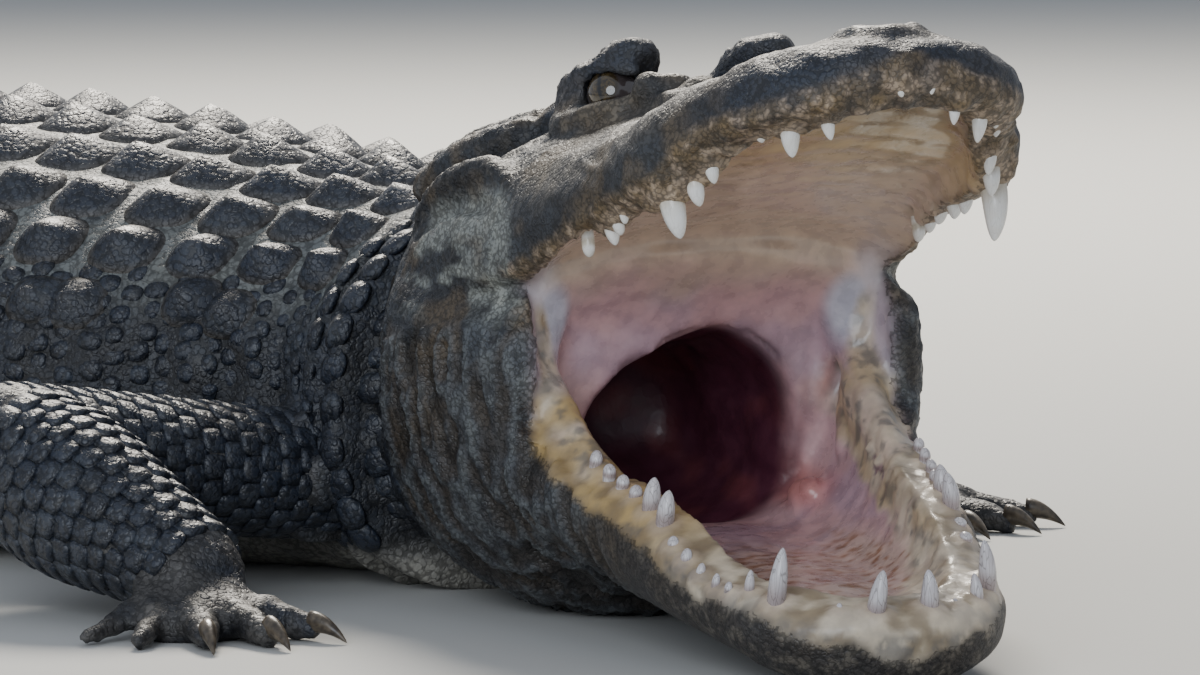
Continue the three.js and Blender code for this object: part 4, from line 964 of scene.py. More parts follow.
@dataclass
class HeadSkin:
    """Skull, jaws, cheeks and the open mouth as one skin, parted at the gum into hide and lining."""

    voxel: float = 2.75
    sides: int = 72
    back: float = -74.0
    wedge_reach: float = 700.0

    def skull(self, x: Array, a: Array) -> Array:
        """Returns points of the upper jaw and skull."""
        edge = SKULL.read("edge", x)
        up, down = SKULL.read("top", x) - edge, edge - SKULL.read("lip", x)
        down = down + 3.5 * smooth(x, 110, 150) * smooth(x, 436, 424)
        y, z = section(a, SKULL.read("half", x), up, down, SKULL.read("square", x), 5.0)
        return through(UPPER, columns(x, y, edge + z))

    def palate(self, x: Array, a: Array) -> Array:
        """Returns points of the palate's cut."""
        y, z = section(a, PALATE.read("half", x), PALATE.read("rise", x), 60.0, 2.2, 8.0)
        return through(UPPER, columns(x, y, z))

    def jaw(self, x: Array, a: Array) -> Array:
        """Returns points of the lower jaw."""
        edge = JAW.read("edge", x)
        up, down = JAW.read("rim", x) - edge, edge - JAW.read("floor", x)
        y, z = section(a, JAW.read("half", x), up, down, 3.2, 2.2)
        return through(LOWER, columns(x, y, edge + z))

    def mouth_floor(self, x: Array, a: Array) -> Array:
        """Returns points of the hollow in the lower jaw."""
        y, z = section(a, MOUTH_FLOOR.read("half", x), 60.0, MOUTH_FLOOR.read("depth", x), 8.0, 2.6)
        return through(LOWER, columns(x, y, z))

    def cheeks(self, x: Array, a: Array) -> Array:
        """Returns points of the jaw muscles and throat."""
        mid = CHEEKS.read("mid", x)
        up, down = CHEEKS.read("top", x) - mid, mid - CHEEKS.read("floor", x)
        y, z = section(a, CHEEKS.read("half", x), up, down, 2.3, 2.5)
        return through(LEVEL, columns(x, y, mid + z))

    def gullet(self, x: Array, a: Array) -> Array:
        """Returns points of the way into the throat."""
        far = throat_edge(a) * GULLET.read("share", x)
        y, z = GULLET_CENTRE[0] + far * np.cos(a), GULLET_CENTRE[1] + far * np.sin(a)
        return through(LEVEL, columns(x, y, z))

    def tongue(self, x: Array, a: Array) -> Array:
        """Returns points of the tongue."""
        y, z = section(a, TONGUE.read("half", x), 9.0, 10.0, 2.4, 4.0)
        return through(LOWER, columns(x, y, TONGUE.read("top", x) - 9 + z))

    def table(self, x: Array, a: Array) -> Array:
        """Returns points of the flat table of the skull."""
        y, z = section(a, SKULL_TABLE.read("half", x), 24.0, 34.0, 6.0, 4.0)
        return through(UPPER, columns(x, y, SKULL_TABLE.read("top", x) - 24 + z))

    def wedge(self, half: float, ends: Sequence[tuple[float, float]], reach: float) -> Object:
        """Makes a space between the jaws as a prism across the head.

        Args:
            half: Its half width.
            ends: The inner end's outline from the lower jaw to the upper, forward and up from the hinge.
            reach: How far out it runs.

        Returns:
            The prism.
        """
        low, high = math.radians(LOWER_PITCH), math.radians(UPPER_PITCH)
        outline = [(reach * math.cos(a), reach * math.sin(a)) for a in (high, low)]
        outline += list(ends)
        bm = bmesh.new()
        face = bm.faces.new([bm.verts.new((x, -half, z)) for x, z in outline])
        side = bmesh.ops.extrude_face_region(bm, geom=[face])["geom"]
        moved = [item for item in side if isinstance(item, bmesh.types.BMVert)]
        bmesh.ops.translate(bm, verts=moved, vec=(0, 2 * half, 0))
        bmesh.ops.recalc_face_normals(bm, faces=bm.faces[:])
        bmesh.ops.transform(bm, matrix=Matrix(LEVEL), verts=bm.verts[:])
        return as_object("wedge", bm)

    @staticmethod
    def rope(path: Path, radii: Sequence[float], matrix: Array, side: float = 1.0) -> Object:
        """Makes a soft round roll along a path in a frame.

        Args:
            path: Points that the roll follows, on the animal's left.
            radii: Its radius at each point.
            matrix: The frame.
            side: 1 for the left and -1 for the right.

        Returns:
            The closed roll.
        """
        places = np.arange(len(path), dtype=float)
        table = Rows("x y z r", *[(k, *at, r) for k, (at, r) in enumerate(zip(path, radii))])
        last = places[-1]

        def form(s: Array, a: Array) -> Array:
            """Returns points of the roll."""
            t = np.clip(s, 0, last)
            at = columns(*(table.read(k, t) for k in "xyz"))
            ahead = columns(*(table.read(k, np.clip(t + 0.02, 0, last)) for k in "xyz"))
            behind = columns(*(table.read(k, np.clip(t - 0.02, 0, last)) for k in "xyz"))
            along = ahead - behind
            along /= np.linalg.norm(along, axis=1)[:, None]
            across = np.cross(along, (0.0, 0.0, 1.0))
            across /= np.maximum(np.linalg.norm(across, axis=1), 1e-6)[:, None]
            up = np.cross(across, along)
            over = np.where(s < 0, -s, np.maximum(0, s - last))
            r = table.read("r", t) * np.sqrt(np.clip(1 - over * over * 0.98, 0.0, 1))
            shift = np.where(s < 0, -1.0, 1.0) * over * table.read("r", t)
            at = at + along * shift[:, None]
            ring = across * np.cos(a)[:, None] + up * np.sin(a)[:, None]
            out = at + ring * r[:, None]
            out[:, 1] *= side
            return through(matrix, out)

        ends = eased(6)
        stations = np.concatenate([-ends[:0:-1], np.linspace(0, last, 6 * len(path)), last + ends[1:]])
        return lofted(stations, 14, form, "rope")

    def forms(self) -> list[Object]:
        """Makes what stands on the skull: its table, orbits, lids, brows, ridges, ear flaps and nose."""
        made = [
            lofted(np.linspace(8, 132, 20), 40, self.table, "table"),
            egg((394, 0, 27), (34, 30, 8), UPPER),
        ]
        for side in SIDES.values():
            made += [
                egg((124, side * 42, 84), (38, 27, 29), UPPER),
                egg((134, side * 38, 101), (42, 20, 13), UPPER, 0.0, -3.0),
                self.rope([(62, 68, 92), (22, 82, 92), (-18, 96, 88)], [9, 13, 11], UPPER, side),
                egg((187, side * 42, 76), (12, 9, 9), UPPER),
                egg((212, side * 24, 66), (13, 12, 7), UPPER),
                egg((240, side * 30, 56), (15, 10, 6), UPPER),
                egg((193, side * 30, 76), (9, 10, 6), UPPER),
                self.rope(
                    [(-34, 108, 50), (-8, 111, 67), (18, 109, 81), (46, 105, 90), (74, 101, 94), (108, 102, 86)],
                    [5, 7, 8, 8, 7, 4], LEVEL, side,
                ),
                self.rope([(60, 58, 101), (30, 64, 103), (2, 72, 105), (-24, 84, 103)], [6, 8, 9, 8], UPPER, side),
                egg((402, side * 13, 32), (15, 11, 5), UPPER),
                self.rope(
                    [(98, 58, 89), (112, 65, 81), (130, 69, 75), (150, 66, 72), (166, 57, 72), (174, 48, 73)],
                    [5, 6.5, 7.5, 7, 6, 4.5], UPPER, side,
                ),
                self.rope(
                    [(102, 56, 99), (118, 60, 101), (138, 58, 100), (156, 52, 97), (170, 43, 91)],
                    [4, 5.5, 5.5, 5, 4], UPPER, side,
                ),
                self.rope([(158, 37, 74), (210, 36, 60), (300, 30, 42)], [9, 8, 7], UPPER, side),
                self.rope([(38, 60, 87), (70, 58, 93), (97, 55, 93)], [6, 6.5, 5], UPPER, side),
            ]
        return made

    def block(self) -> Object:
        """Joins and cuts the head's forms."""
        nose_end = NOSE_TIP - 60 * (1 - eased(22))
        chin_end = CHIN_TIP - 48 * (1 - eased(20))
        whole = lofted(np.append(np.arange(self.back, 379, 7), nose_end), self.sides, self.skull, "skin_head")
        palate = lofted(np.append(np.arange(60, 400, 8), [405, 410, 414, 418]), 48, self.palate, "palate")
        whole = combined(whole, [palate], Solver.DIFFERENCE)
        cheeks = lofted(np.arange(self.back, 151, 7), self.sides, self.cheeks, "cheeks")
        low, high = math.radians(LOWER_PITCH), math.radians(UPPER_PITCH)
        round_end = [(GAPE_CORNER * math.cos(a), GAPE_CORNER * math.sin(a)) for a in np.linspace(low, high, 13)]
        cheeks = combined(cheeks, [self.wedge(300, round_end, self.wedge_reach)], Solver.DIFFERENCE)
        jaw = lofted(np.append(np.arange(self.back, 363, 7), chin_end), self.sides, self.jaw, "jaw")
        whole = combined(whole, [cheeks, jaw, *self.forms()], Solver.UNION)
        cuts = [
            self.wedge(CAVITY_HALF, SAIL, 215.0),
            lofted(np.append([-29, -28, -27, -24], np.linspace(-20, 118, 20)), 56, self.gullet, "gullet"),
            lofted(np.append(np.arange(GAPE_BACK, 370, 7), [374, 378, 380]), 48, self.mouth_floor, "floor"),
        ]
        for side in SIDES.values():
            groove = [(-4, 128, 50), (10, 121, 60), (30, 117, 69), (58, 114, 77), (92, 113, 77)]
            cuts.append(self.rope(groove, [4, 6, 8, 8, 5], LEVEL, side))
            turn, eye = side * 40, np.array(EYE) * (1, side, 1)
            way = np.array([math.cos(math.radians(turn)), math.sin(math.radians(turn)), 0.0])
            cuts.append(egg(eye, (15.5, 15.5, 15.5), UPPER))
            cuts.append(egg(eye + 12 * way, (12, 21, 5.7), UPPER, turn))
            cuts.append(egg((404, side * 13, 38), (8, 4, 5), UPPER))
        whole = combined(whole, cuts, Solver.DIFFERENCE)
        soft = [
            lofted(np.linspace(100, 318, 30), 40, self.tongue, "tongue"),
            self.rope(
                [(114, -56, -73), (104, -28, -76), (101, 0, -77), (104, 28, -76), (114, 56, -73)],
                [6, 6.5, 6.5, 6.5, 6], LOWER,
            ),
        ]
        for side in SIDES.values():
            soft += [
                self.rope(RICTUS, RICTUS_ROUND, LEVEL, side),
                egg((94, side * 83, 24), (10, 11, 26), LEVEL),
                egg((104, side * 56, -80), (13, 11, 8), LEVEL),
            ]
        return combined(whole, soft, Solver.UNION)

    def shaped(self, made: Object) -> Array:
        """Returns the points with the mouth's lining softened and the hide's folds and lumps raised."""
        points = points_of(made)
        lining = Spots(points).lining()
        points = relaxed(made, points, 0.35 + 0.65 * lining, 3)
        points = relaxed(made, points, lining, 9)
        wall = lining * smooth(Spots(points).reach, 215, 170) * smooth(np.abs(Spots(points).gullet()), 4, 9)
        points = relaxed(made, points, wall, 24)
        move(made, points)
        normals = normals_of(made)
        spots = Spots(points)
        lining = spots.lining()
        hide = 1 - lining
        x, y, z = spots.u.T
        upper = smooth(spots.angle, 8, 14)
        snout = smooth(x, 150, 210) * upper * hide
        lumps = soft_noise(points, 16, 3, 3)
        first, second, _ = cell_noise(points * (1, 1, 1.25), 8.5, 11)
        pebbles = smooth(second - first, 0.02, 0.30)
        cheek = smooth(x, 190, 120) * hide
        stretched = spots.l * (1.0, 0.5, 0.32)
        creases = 1 - 2.2 * np.abs(soft_noise(stretched, 13, 14, 2))
        long_creases = 1 - 2.2 * np.abs(soft_noise(spots.l * (0.4, 0.6, 1.0), 13, 15, 2))
        raised = hide * (0.9 * lumps * (0.4 + 0.8 * snout)) + cheek * 1.0 * (pebbles - 0.6)
        raised += cheek * (1 - upper) * 3.5 * creases + snout * 0.9 * long_creases
        brow = upper * smooth(z, 86, 94) * bump(x, 142, 46) * smooth(np.abs(y), 16, 26)
        raised += brow * 2.2 * soft_noise(points, 8.5, 16, 2)
        gum = spots.lower_rim()
        raised += gum * 0.9 * soft_noise(points, 9, 8, 2) + 2.2 * spots.collars()
        lip = spots.upper_rim() * hide
        raised += lip * 1.0 * soft_noise(points, 8, 5, 2)
        raised += (self.mouth_folds(spots) * (1 - spots.pad()) + 2.5 * spots.pad()) * lining
        return points + normals * raised[:, None]

    @staticmethod
    def mouth_folds(spots: Spots) -> Array:
        """Returns the heights of the lining's soft folds."""
        heights = np.zeros(len(spots.points))
        for path in WALL_FOLDS:
            near, _ = spots.from_line(path)
            heights += 4.0 * smooth(near, 9, 0)
        palate_x = spots.u[:, 0] + 0.0022 * spots.u[:, 1] ** 2
        ridges = 0.35 * np.sin(palate_x / 3.4) * smooth(spots.u[:, 0], 190, 260) * smooth(spots.angle, 6, 14)
        deep = smooth(spots.lx, 78, 50) * smooth(spots.lx, -20, 10)
        heights += 5.0 * deep * smooth(soft_noise(spots.l * (0.4, 1.0, 0.8), 26, 6, 2), -0.3, 0.8)
        return heights + ridges + 0.9 * soft_noise(spots.points, 24, 4, 2)

    def tint(self, spots: Spots, lining: Array) -> Array:
        """Returns the colours of hide and lining at each point."""
        points = spots.points
        x, _, z = spots.u.T
        wide = soft_noise(points, 45, 21, 3)
        fine = soft_noise(points, 9, 22, 3)
        speck = smooth(soft_noise(points, 4.2, 23, 2), 0.15, 0.55)
        tint = Tint(CHARCOAL, len(points))
        upper = smooth(spots.angle, 6, 14) * smooth(x, -40, 20)
        top = smooth(z - SKULL.read("edge", x), 4, 22) * upper
        tint.wash(SLATE, 0.5 * smooth(wide, -0.3, 0.7))
        tint.wash(OLIVE_BROWN, 0.38 * smooth(soft_noise(points, 28, 24, 3), 0.0, 0.6))
        # Painted sunlight: the upper head's top turns tan where the light falls on it.
        sunny = smooth(z - SKULL.read("edge", x), 0, 20) * upper
        tint.wash(TAN_DUST_AND_SUNLIGHT, sunny * smooth(x, 110, 180) * smooth(x, 400, 330) * (0.26 + 0.3 * fine))
        tint.wash(TAN_DUST_AND_SUNLIGHT, top * speck * 0.2)
        brow = upper * smooth(z, 84, 92) * smooth(x, 70, 90) * smooth(x, 190, 176)
        tint.wash(NAVY, brow * (0.7 + 0.3 * fine))
        tint.wash(NAVY, smooth(x, 330, 400) * smooth(z, 40, 18) * upper * 0.8)
        lower = smooth(spots.angle, 2, -8)
        creases = 1 - 2.2 * np.abs(soft_noise(spots.l * (1.0, 0.5, 0.32), 13, 14, 2))
        cheek = smooth(x, 190, 120) * (1 - upper)
        tint.wash(BROWN_BLACK, lower * 0.7)
        tint.wash(TAN_DUST_AND_SUNLIGHT, lower * smooth(x, 150, 260) * speck * 0.45)
        # Painted light on the cheek's creases: slate and a pale painted highlight on their crests, and painted shade
        # darkening their troughs.
        tint.wash(SLATE, cheek * smooth(creases, 0.1, 0.9) * 0.75)
        tint.wash(PALE_SKIN_AND_HIGHLIGHT, cheek * smooth(creases, 0.55, 1.0) * 0.22)
        tint.values = tint.values * (1 - 0.55 * cheek * smooth(creases, -0.05, -0.7))[:, None]
        stretch, _ = spots.from_line(JAW_CORNER_SKIN)
        tint.wash(PALE_SKIN_AND_HIGHLIGHT, smooth(stretch, 19, 9) * (0.75 + 0.25 * fine))
        stripes = soft_noise(spots.l * (0.35, 0.6, 1.6), 9, 25, 2)
        band = smooth(spots.lz, 10, 34) * smooth(spots.lz, 66, 50) * smooth(spots.lx, 110, 84)
        tint.wash(PALE_SKIN_AND_HIGHLIGHT, band * smooth(spots.lx, -10, 30) * smooth(stripes, 0.0, 0.5) * 0.7)
        corner, aside = spots.from_line(RICTUS)
        fibres = soft_noise(spots.l * (1.6, 1.0, 0.3), 7, 26, 2)
        strip = smooth(corner, 34, 20) * smooth(aside, 2, 9) * smooth(spots.lz, -30, -4)
        tint.wash(PALE_SKIN_AND_HIGHLIGHT, strip * (0.45 + 0.4 * fibres))
        lip = spots.upper_rim()
        tint.wash(OLIVE_BROWN, lip * (0.6 + 0.4 * fine))
        tint.wash(BEIGE, lip * speck * 0.5)
        rim = np.maximum(spots.lower_rim(), spots.rictus())
        gum = np.where(spots.near[:, None], np.array(OCHRE), np.array(CREAM))
        front = smooth(spots.wx, 250, 330)[:, None]
        gum = gum * (1 - front) + np.array(CREAM) * front
        tint.wash(gum, rim)
        tint.wash(OLIVE_BROWN, rim * smooth(soft_noise(points, 13, 27, 3), -0.25, 0.5) * 0.7)
        chin = rim * smooth(spots.wx, 180, 300) * smooth(spots.wz, 4, -6)
        tint.wash(SLATE, chin * smooth(soft_noise(points, 8, 35, 3), -0.3, 0.4) * 0.6)
        tint.wash(BEIGE, spots.collars() * 0.45)
        tint.wash(self.mouth_tint(spots, fine), lining)
        return tint.values

    @staticmethod
    def mouth_tint(spots: Spots, fine: Array) -> Array:
        """Returns the colours of the mouth's lining, with fine a small noise."""
        points = spots.points
        x = spots.u[:, 0]
        wide = soft_noise(points, 30, 31, 2)
        mouth = Tint(PINK, len(points))
        mouth.wash(LILAC, 0.5 * smooth(wide, -0.2, 0.6))
        palate = smooth(spots.angle, 8, 16)
        mouth.wash(BEIGE, smooth(spots.lz + 8 * wide, 14, 52) * smooth(spots.lx, 70, 92) * 0.9)
        # Painted shade on the palate's front: it darkens to ochre, then olive brown, towards the snout's tip.
        mouth.wash(OCHRE, palate * smooth(x + 12 * fine, 230, 320) * 0.7)
        mouth.wash(OLIVE_BROWN, palate * smooth(x + 20 * wide, 300, 390) * 0.75)
        edge = smooth(np.abs(spots.ly), 78, 92) * smooth(spots.reach, 170, 110)
        mouth.wash(BLUE_WHITE, np.maximum(edge * 0.6, 0.9 * spots.pad()))
        ground = smooth(spots.angle, -8, -14) * smooth(np.abs(spots.wy), 62, 50)
        rust = smooth(soft_noise(points, 4, 33, 3), 0.0, 0.55) * smooth(spots.wx, 150, 230)
        mouth.wash(BEIGE, ground * smooth(spots.wx, 150, 240) * 0.6)
        mouth.wash(RUST, ground * rust * 0.85)
        rim = np.maximum(spots.lower_rim(), spots.rictus())
        mouth.wash(CREAM, rim * (0.85 + 0.15 * fine))
        near_ochre = 0.9 * smooth(wide, -0.9, 0.1) * smooth(spots.wx, 330, 220)
        far_ochre = 0.5 * smooth(wide, -0.1, 0.6)
        mouth.wash(OCHRE, rim * np.where(spots.near, np.maximum(near_ochre, far_ochre), far_ochre))
        outer = rim * smooth(spots.floor(), -5, -12)
        mottle = smooth(soft_noise(points, 11, 28, 3), -0.25, 0.55)
        mouth.wash(OLIVE_BROWN, outer * mottle * (0.4 + 0.45 * smooth(spots.wx, 200, 300)))
        mouth.wash(SLATE, rim * smooth(soft_noise(points, 6, 29, 2), 0.2, 0.6) * 0.55)
        chin = outer * smooth(spots.wx, 240, 320) * smooth(soft_noise(points, 8, 35, 3), -0.3, 0.4)
        mouth.wash(SLATE, chin * 0.45)
        for path in WALL_FOLDS:
            near, _ = spots.from_line(path)
            mouth.wash(BLUSH, smooth(near, 6, 0) * 0.3)
        flesh = smooth(np.hypot(spots.ly - 58, spots.lz + 76), 20, 6) * smooth(spots.lx, 140, 110)
        mouth.wash(BLUSH, flesh * 0.6)
        # Painted shade inside the throat: its deep tunnel is washed dark maroon over its red flesh.
        inside = smooth(spots.lx, 92, 66) * smooth(spots.gullet(), -12, -5)
        mouth.wash(MAROON, inside)
        mouth.wash(BLUSH, inside * 0.14 * smooth(soft_noise(points, 22, 34, 2), -0.2, 0.8))
        return mouth.values

    def build(self) -> list[Object]:
        """Makes the skin, shapes and tints it, and parts it into hide and lining."""
        made = remeshed(self.block(), self.voxel)
        points = self.shaped(made)
        points[:, 2] = np.maximum(points[:, 2], 0.0)
        move(made, points)
        spots = Spots(points)
        masks = columns(spots.lining(), spots.lower_rim(), smooth(spots.gullet(), -10, -4))
        lining, rim, throat = relaxed(made, masks, np.ones(len(points)), 5).T
        paint(made, "tint", self.tint(spots, lining))
        deep = throat * smooth(spots.lx, 92, 70)
        cheek = smooth(spots.u[:, 0], 190, 120) * smooth(spots.angle, 12, 4)
        dry = 0.25 + 0.2 * np.maximum(rim * (1 - deep), cheek)
        paint(made, "wet", np.maximum(lining * (1 - 0.75 * rim) * (1 - deep), dry))
        return Parted(made, np.maximum(lining, rim) > 0.5).build(("skin_head", "mouth_lining"))


@dataclass
class Parted:
    """A skin parted into two pieces that meet point to point and share their shading along the line."""

    made: Object
    chosen: Array

    def build(self, names: tuple[str, str]) -> list[Object]:
        """Parts the skin.

        Args:
            names: The names of what isn't chosen and of what is.

        Returns:
            Both pieces, in the part's frame.
        """
        finished(self.made, names[1])
        normals = normals_of(self.made)
        mesh = self.made.data
        starts = fetched(mesh.polygons, "loop_start", kind=np.int32)
        counts = fetched(mesh.polygons, "loop_total", kind=np.int32)
        corners = fetched(mesh.loops, "vertex_index", kind=np.int32)
        sums = np.add.reduceat(self.chosen[corners].astype(float), starts) / counts
        pieces = []
        for name, keep in zip(names, (sums < 0.5, sums >= 0.5)):
            piece = self.made if name == names[1] else self.made.copy()
            if piece is not self.made:
                piece.data = mesh.copy()
                bpy.context.scene.collection.objects.link(piece)
            bm = bmesh.new()
            bm.from_mesh(piece.data)
            bm.faces.ensure_lookup_table()
            number = bm.verts.layers.int.new("number")
            for vert in bm.verts:
                vert[number] = vert.index
            gone = [bm.faces[i] for i in np.flatnonzero(~keep)]
            bmesh.ops.delete(bm, geom=gone, context="FACES")
            bm.to_mesh(piece.data)
            bm.free()
            order = fetched(piece.data.attributes["number"].data, "value", kind=np.int32)
            piece.data.attributes.remove(piece.data.attributes["number"])
            piece.data.normals_split_custom_set_from_vertices(normals[order].tolist())
            piece.name = piece.data.name = name
            pieces.append(piece)
        return pieces


# ---- the body


class Paw(NamedTuple):
    """A hand or foot: its side, wrist, far middle, its digits' turn in degrees and whether it is in front."""

    name: str
    side: float
    wrist: Array
    centre: Array
    fan: float
    front: bool


class Digit(NamedTuple):
    """A finger or toe: where it leaves the palm, its heading in radians and its row of sizes."""

    start: Array
    heading: float
    row: Sequence[float]


@dataclass
class BodySkin:
    """Neck, trunk, tail and limbs as one skin, parted across the trunk only to keep each piece light."""

    voxel: float = 4.2
    sides: int = 112
    part_at: float = 622.0
    limbs: list[tuple[str, LimbSurface]] = field(default_factory=list)

    def __post_init__(self) -> None:
        """Places the limbs' lengths."""
        self.surface = BodySurface()
        at, heading = self.surface.spine(np.array([HIP_AT]))
        hip = shifted(at[0, 0], at[0, 1], 0) @ turned("Z", math.degrees(heading[0]))
        self.paws: list[Paw] = []
        for name, side in SIDES.items():
            shoulder, elbow, wrist, hand, fan = ARMS[name]
            self.limbs += [
                (f"upper_arm_{name}", LimbSurface(shoulder, elbow, UPPER_ARM)),
                (f"forearm_{name}", LimbSurface(elbow, wrist, FOREARM)),
            ]
            self.paws.append(Paw(name, side, np.array(wrist, float), np.array(hand, float), fan, True))
            joints = [through(hip, np.array([[x, side * y, z]]))[0] for x, y, z in LEGS[name][:4]]
            self.limbs += [
                (f"thigh_{name}", LimbSurface(joints[0], joints[1], THIGH)),
                (f"shank_{name}", LimbSurface(joints[1], joints[2], SHANK)),
            ]
            self.paws.append(Paw(name, side, joints[2], joints[3], LEGS[name][4], False))

    @staticmethod
    def digits(paw: Paw) -> list[Digit]:
        """Returns the digits of a hand or foot."""
        _, side, wrist, centre, fan, front = paw
        heading = math.atan2(centre[1] - wrist[1], centre[0] - wrist[0])
        rows, palm = (FINGERS, PALM) if front else (TOES, SOLE)
        wide = float(palm.read("wide", 1.0))
        out = []
        for i, row in enumerate(rows):
            spread = side * (i / (len(rows) - 1) - 0.5) * 1.75 * wide
            x, y = centre[0] - spread * math.sin(heading), centre[1] + spread * math.cos(heading)
            out.append(Digit(np.array([x, y, centre[2]]), heading + side * math.radians(row[0] + fan), row))
        return out

    @staticmethod
    def digit(start: Array, heading: float, row: Sequence[float]) -> Object:
        """Makes one digit with its knuckles; it leaves the palm high and comes down to lie on the floor."""
        _, long, thick, _ = row
        table = Rows(
            "r z", (-0.1, 1.1, start[2]), (0.15, 1.0, start[2] * 0.95), (0.34, 1.16, thick * 1.5),
            (0.5, 0.92, thick * 1.15), (0.68, 1.1, thick * 1.0), (0.84, 0.86, thick * 0.86), (0.94, 0.9, thick * 0.8),
            (1.0, 0.78, thick * 0.74), (1.05, 0.4, thick * 0.66),
        )

        def form(s: Array, a: Array) -> Array:
            """Returns points of the digit."""
            r = thick * table.read("r", s)
            over, up = r * np.cos(a), r * np.sin(a)
            x = start[0] + math.cos(heading) * s * long - math.sin(heading) * over
            y = start[1] + math.sin(heading) * s * long + math.cos(heading) * over
            return columns(x, y, table.read("z", s) + up)

        return lofted(np.linspace(-0.1, 1.05, 26), 18, form, "digit")

    @staticmethod
    def web(first: Digit, second: Digit) -> Object:
        """Makes the web between two toes as a thin sheet that hangs between them."""
        points = []
        for share in np.linspace(0, 1, 7):
            sag = 1 - 1.2 * share * (1 - share)
            edge = []
            for reach in (0.0, 0.72 * sag):
                ends = [
                    start + reach * row[1] * np.array([math.cos(heading), math.sin(heading), 0.0])
                    for start, heading, row in (first, second)
                ]
                edge.append((1 - share) * ends[0] + share * ends[1])
            rim = [(edge[0], 3.0), (edge[1], 2.0), (edge[1], 8.0), (edge[0], 11.0), (edge[0], 3.0)]
            points.append([(x, y, high) for (x, y, _), high in rim])
        return sheet(6, 4, np.array(points), "web")

    def trunk(self) -> Object:
        """Makes neck, trunk and tail."""
        stations = np.concatenate([np.arange(0, 2500, 10.0), TAIL_TIP - 40 * (1 - eased(8))])
        return lofted(stations, self.sides, self.surface.ring, "skin_body")

    def whole(self) -> Object:
        """Joins trunk, limbs, hands and feet."""
        limbs = [surface.body() for _, surface in self.limbs]
        for paw in self.paws:
            limbs.append(LimbSurface(paw.wrist, paw.centre, PALM if paw.front else SOLE).body())
            digits = self.digits(paw)
            limbs += [self.digit(*digit) for digit in digits]
            if not paw.front:
                limbs += [self.web(*pair) for pair in zip(digits, digits[1:])]
        return combined(self.trunk(), limbs, Solver.UNION)

    def along(self, points: Array) -> tuple[Array, Array]:
        """Returns how far behind the head the points lie and their turns from the back's middle in degrees."""
        stride, batch = 4, 20000
        line = self.surface.line[None, ::stride]
        nearest = np.empty(len(points))
        for start in range(0, len(points), batch):
            part = points[start : start + batch, None, :2] - line
            closest = np.argmin(np.einsum("ijk,ijk->ij", part, part), axis=1)
            nearest[start : start + batch] = closest * stride * self.surface.STEP
        at, heading = self.surface.spine(nearest)
        offset = points[:, :2] - at
        s = nearest - (offset[:, 0] * np.cos(heading) + offset[:, 1] * np.sin(heading))
        y = -offset[:, 0] * np.sin(heading) + offset[:, 1] * np.cos(heading)
        height = points[:, 2] - TRUNK.read("mid", s)
        half, up = TRUNK.read("half", s), TRUNK.read("top", s) - TRUNK.read("mid", s)
        return s, np.degrees(np.arctan2(y / half, height / up))

    def collar(self, s: Array, turn: Array) -> Array:
        """Returns the heights of the neck's collar folds."""
        side = smooth(np.abs(turn), 22, 55)
        rolls = 8 * bump(s, -10, 22) - 8 * bump(s, 18, 12) + 8 * bump(s, 38, 16) - 6 * bump(s, 58, 10)
        return (rolls + 6 * bump(s, 76, 14) - 4 * bump(s, 95, 9)) * side

    def folds(self, points: Array, s: Array, turn: Array) -> Array:
        """Returns the heights of the skin's folds and wrinkles."""
        side = smooth(np.abs(turn), 62, 80) * smooth(np.abs(turn), 150, 120)
        shoulder = smooth(s, 60, 110) * smooth(s, 330, 230)
        drift = soft_noise(points, 60, 41, 2)
        upright = np.sin(s / 7.5 + 2.2 * drift + turn * 0.035)
        flank = np.sin(turn * 0.42 + 1.8 * drift + s / 95)
        creases = 1 - 2.2 * np.abs(soft_noise(points * (0.45, 0.45, 1.0), 20, 43, 2))
        wrinkles = shoulder * 2.6 * upright + (1 - shoulder) * (0.9 * flank + 1.9 * creases) * smooth(s, 1100, 900)
        return self.collar(s, turn) + side * wrinkles + 0.9 * soft_noise(points, 18, 42, 2) * smooth(s, 1700, 1200)

    def off_trunk(self, points: Array, s: Array) -> Array:
        """Returns a mask of the points that stand off the trunk, on a limb."""
        at, heading = self.surface.spine(s)
        offset = points[:, :2] - at
        y = -offset[:, 0] * np.sin(heading) + offset[:, 1] * np.cos(heading)
        return smooth(np.abs(y) / TRUNK.read("half", s), 1.03, 1.12)

    def tint(self, points: Array, s: Array, turn: Array, free: Array) -> Array:
        """Returns the skin's colours, where free is 1 on the limbs."""
        wide = soft_noise(points, 70, 51, 3)
        fine = soft_noise(points, 12, 52, 3)
        tint = Tint(CHARCOAL, len(points))
        tint.wash(NAVY, 0.6 * smooth(wide, -0.3, 0.5))
        # The back's skin between the scutes is washed pale: partly a paler skin tone, largely a painted highlight
        # where the light from behind falls.
        back = smooth(np.abs(turn), 74, 56) * smooth(s, 40, 150) * (1 - free)
        tint.wash(PALE_SKIN_AND_HIGHLIGHT, back * (0.46 + 0.25 * fine) * smooth(s, 1150, 800))
        tint.wash(SLATE, 0.35 * smooth(fine, 0.0, 0.7))
        tint.wash(TAN_DUST_AND_SUNLIGHT, free * (0.12 + 0.22 * fine))
        under = smooth(points[:, 2], 34, 8) * smooth(np.abs(turn), 95, 118) * (1 - free)
        tint.wash(BELLY, under * (0.8 + 0.2 * fine))
        return tint.values

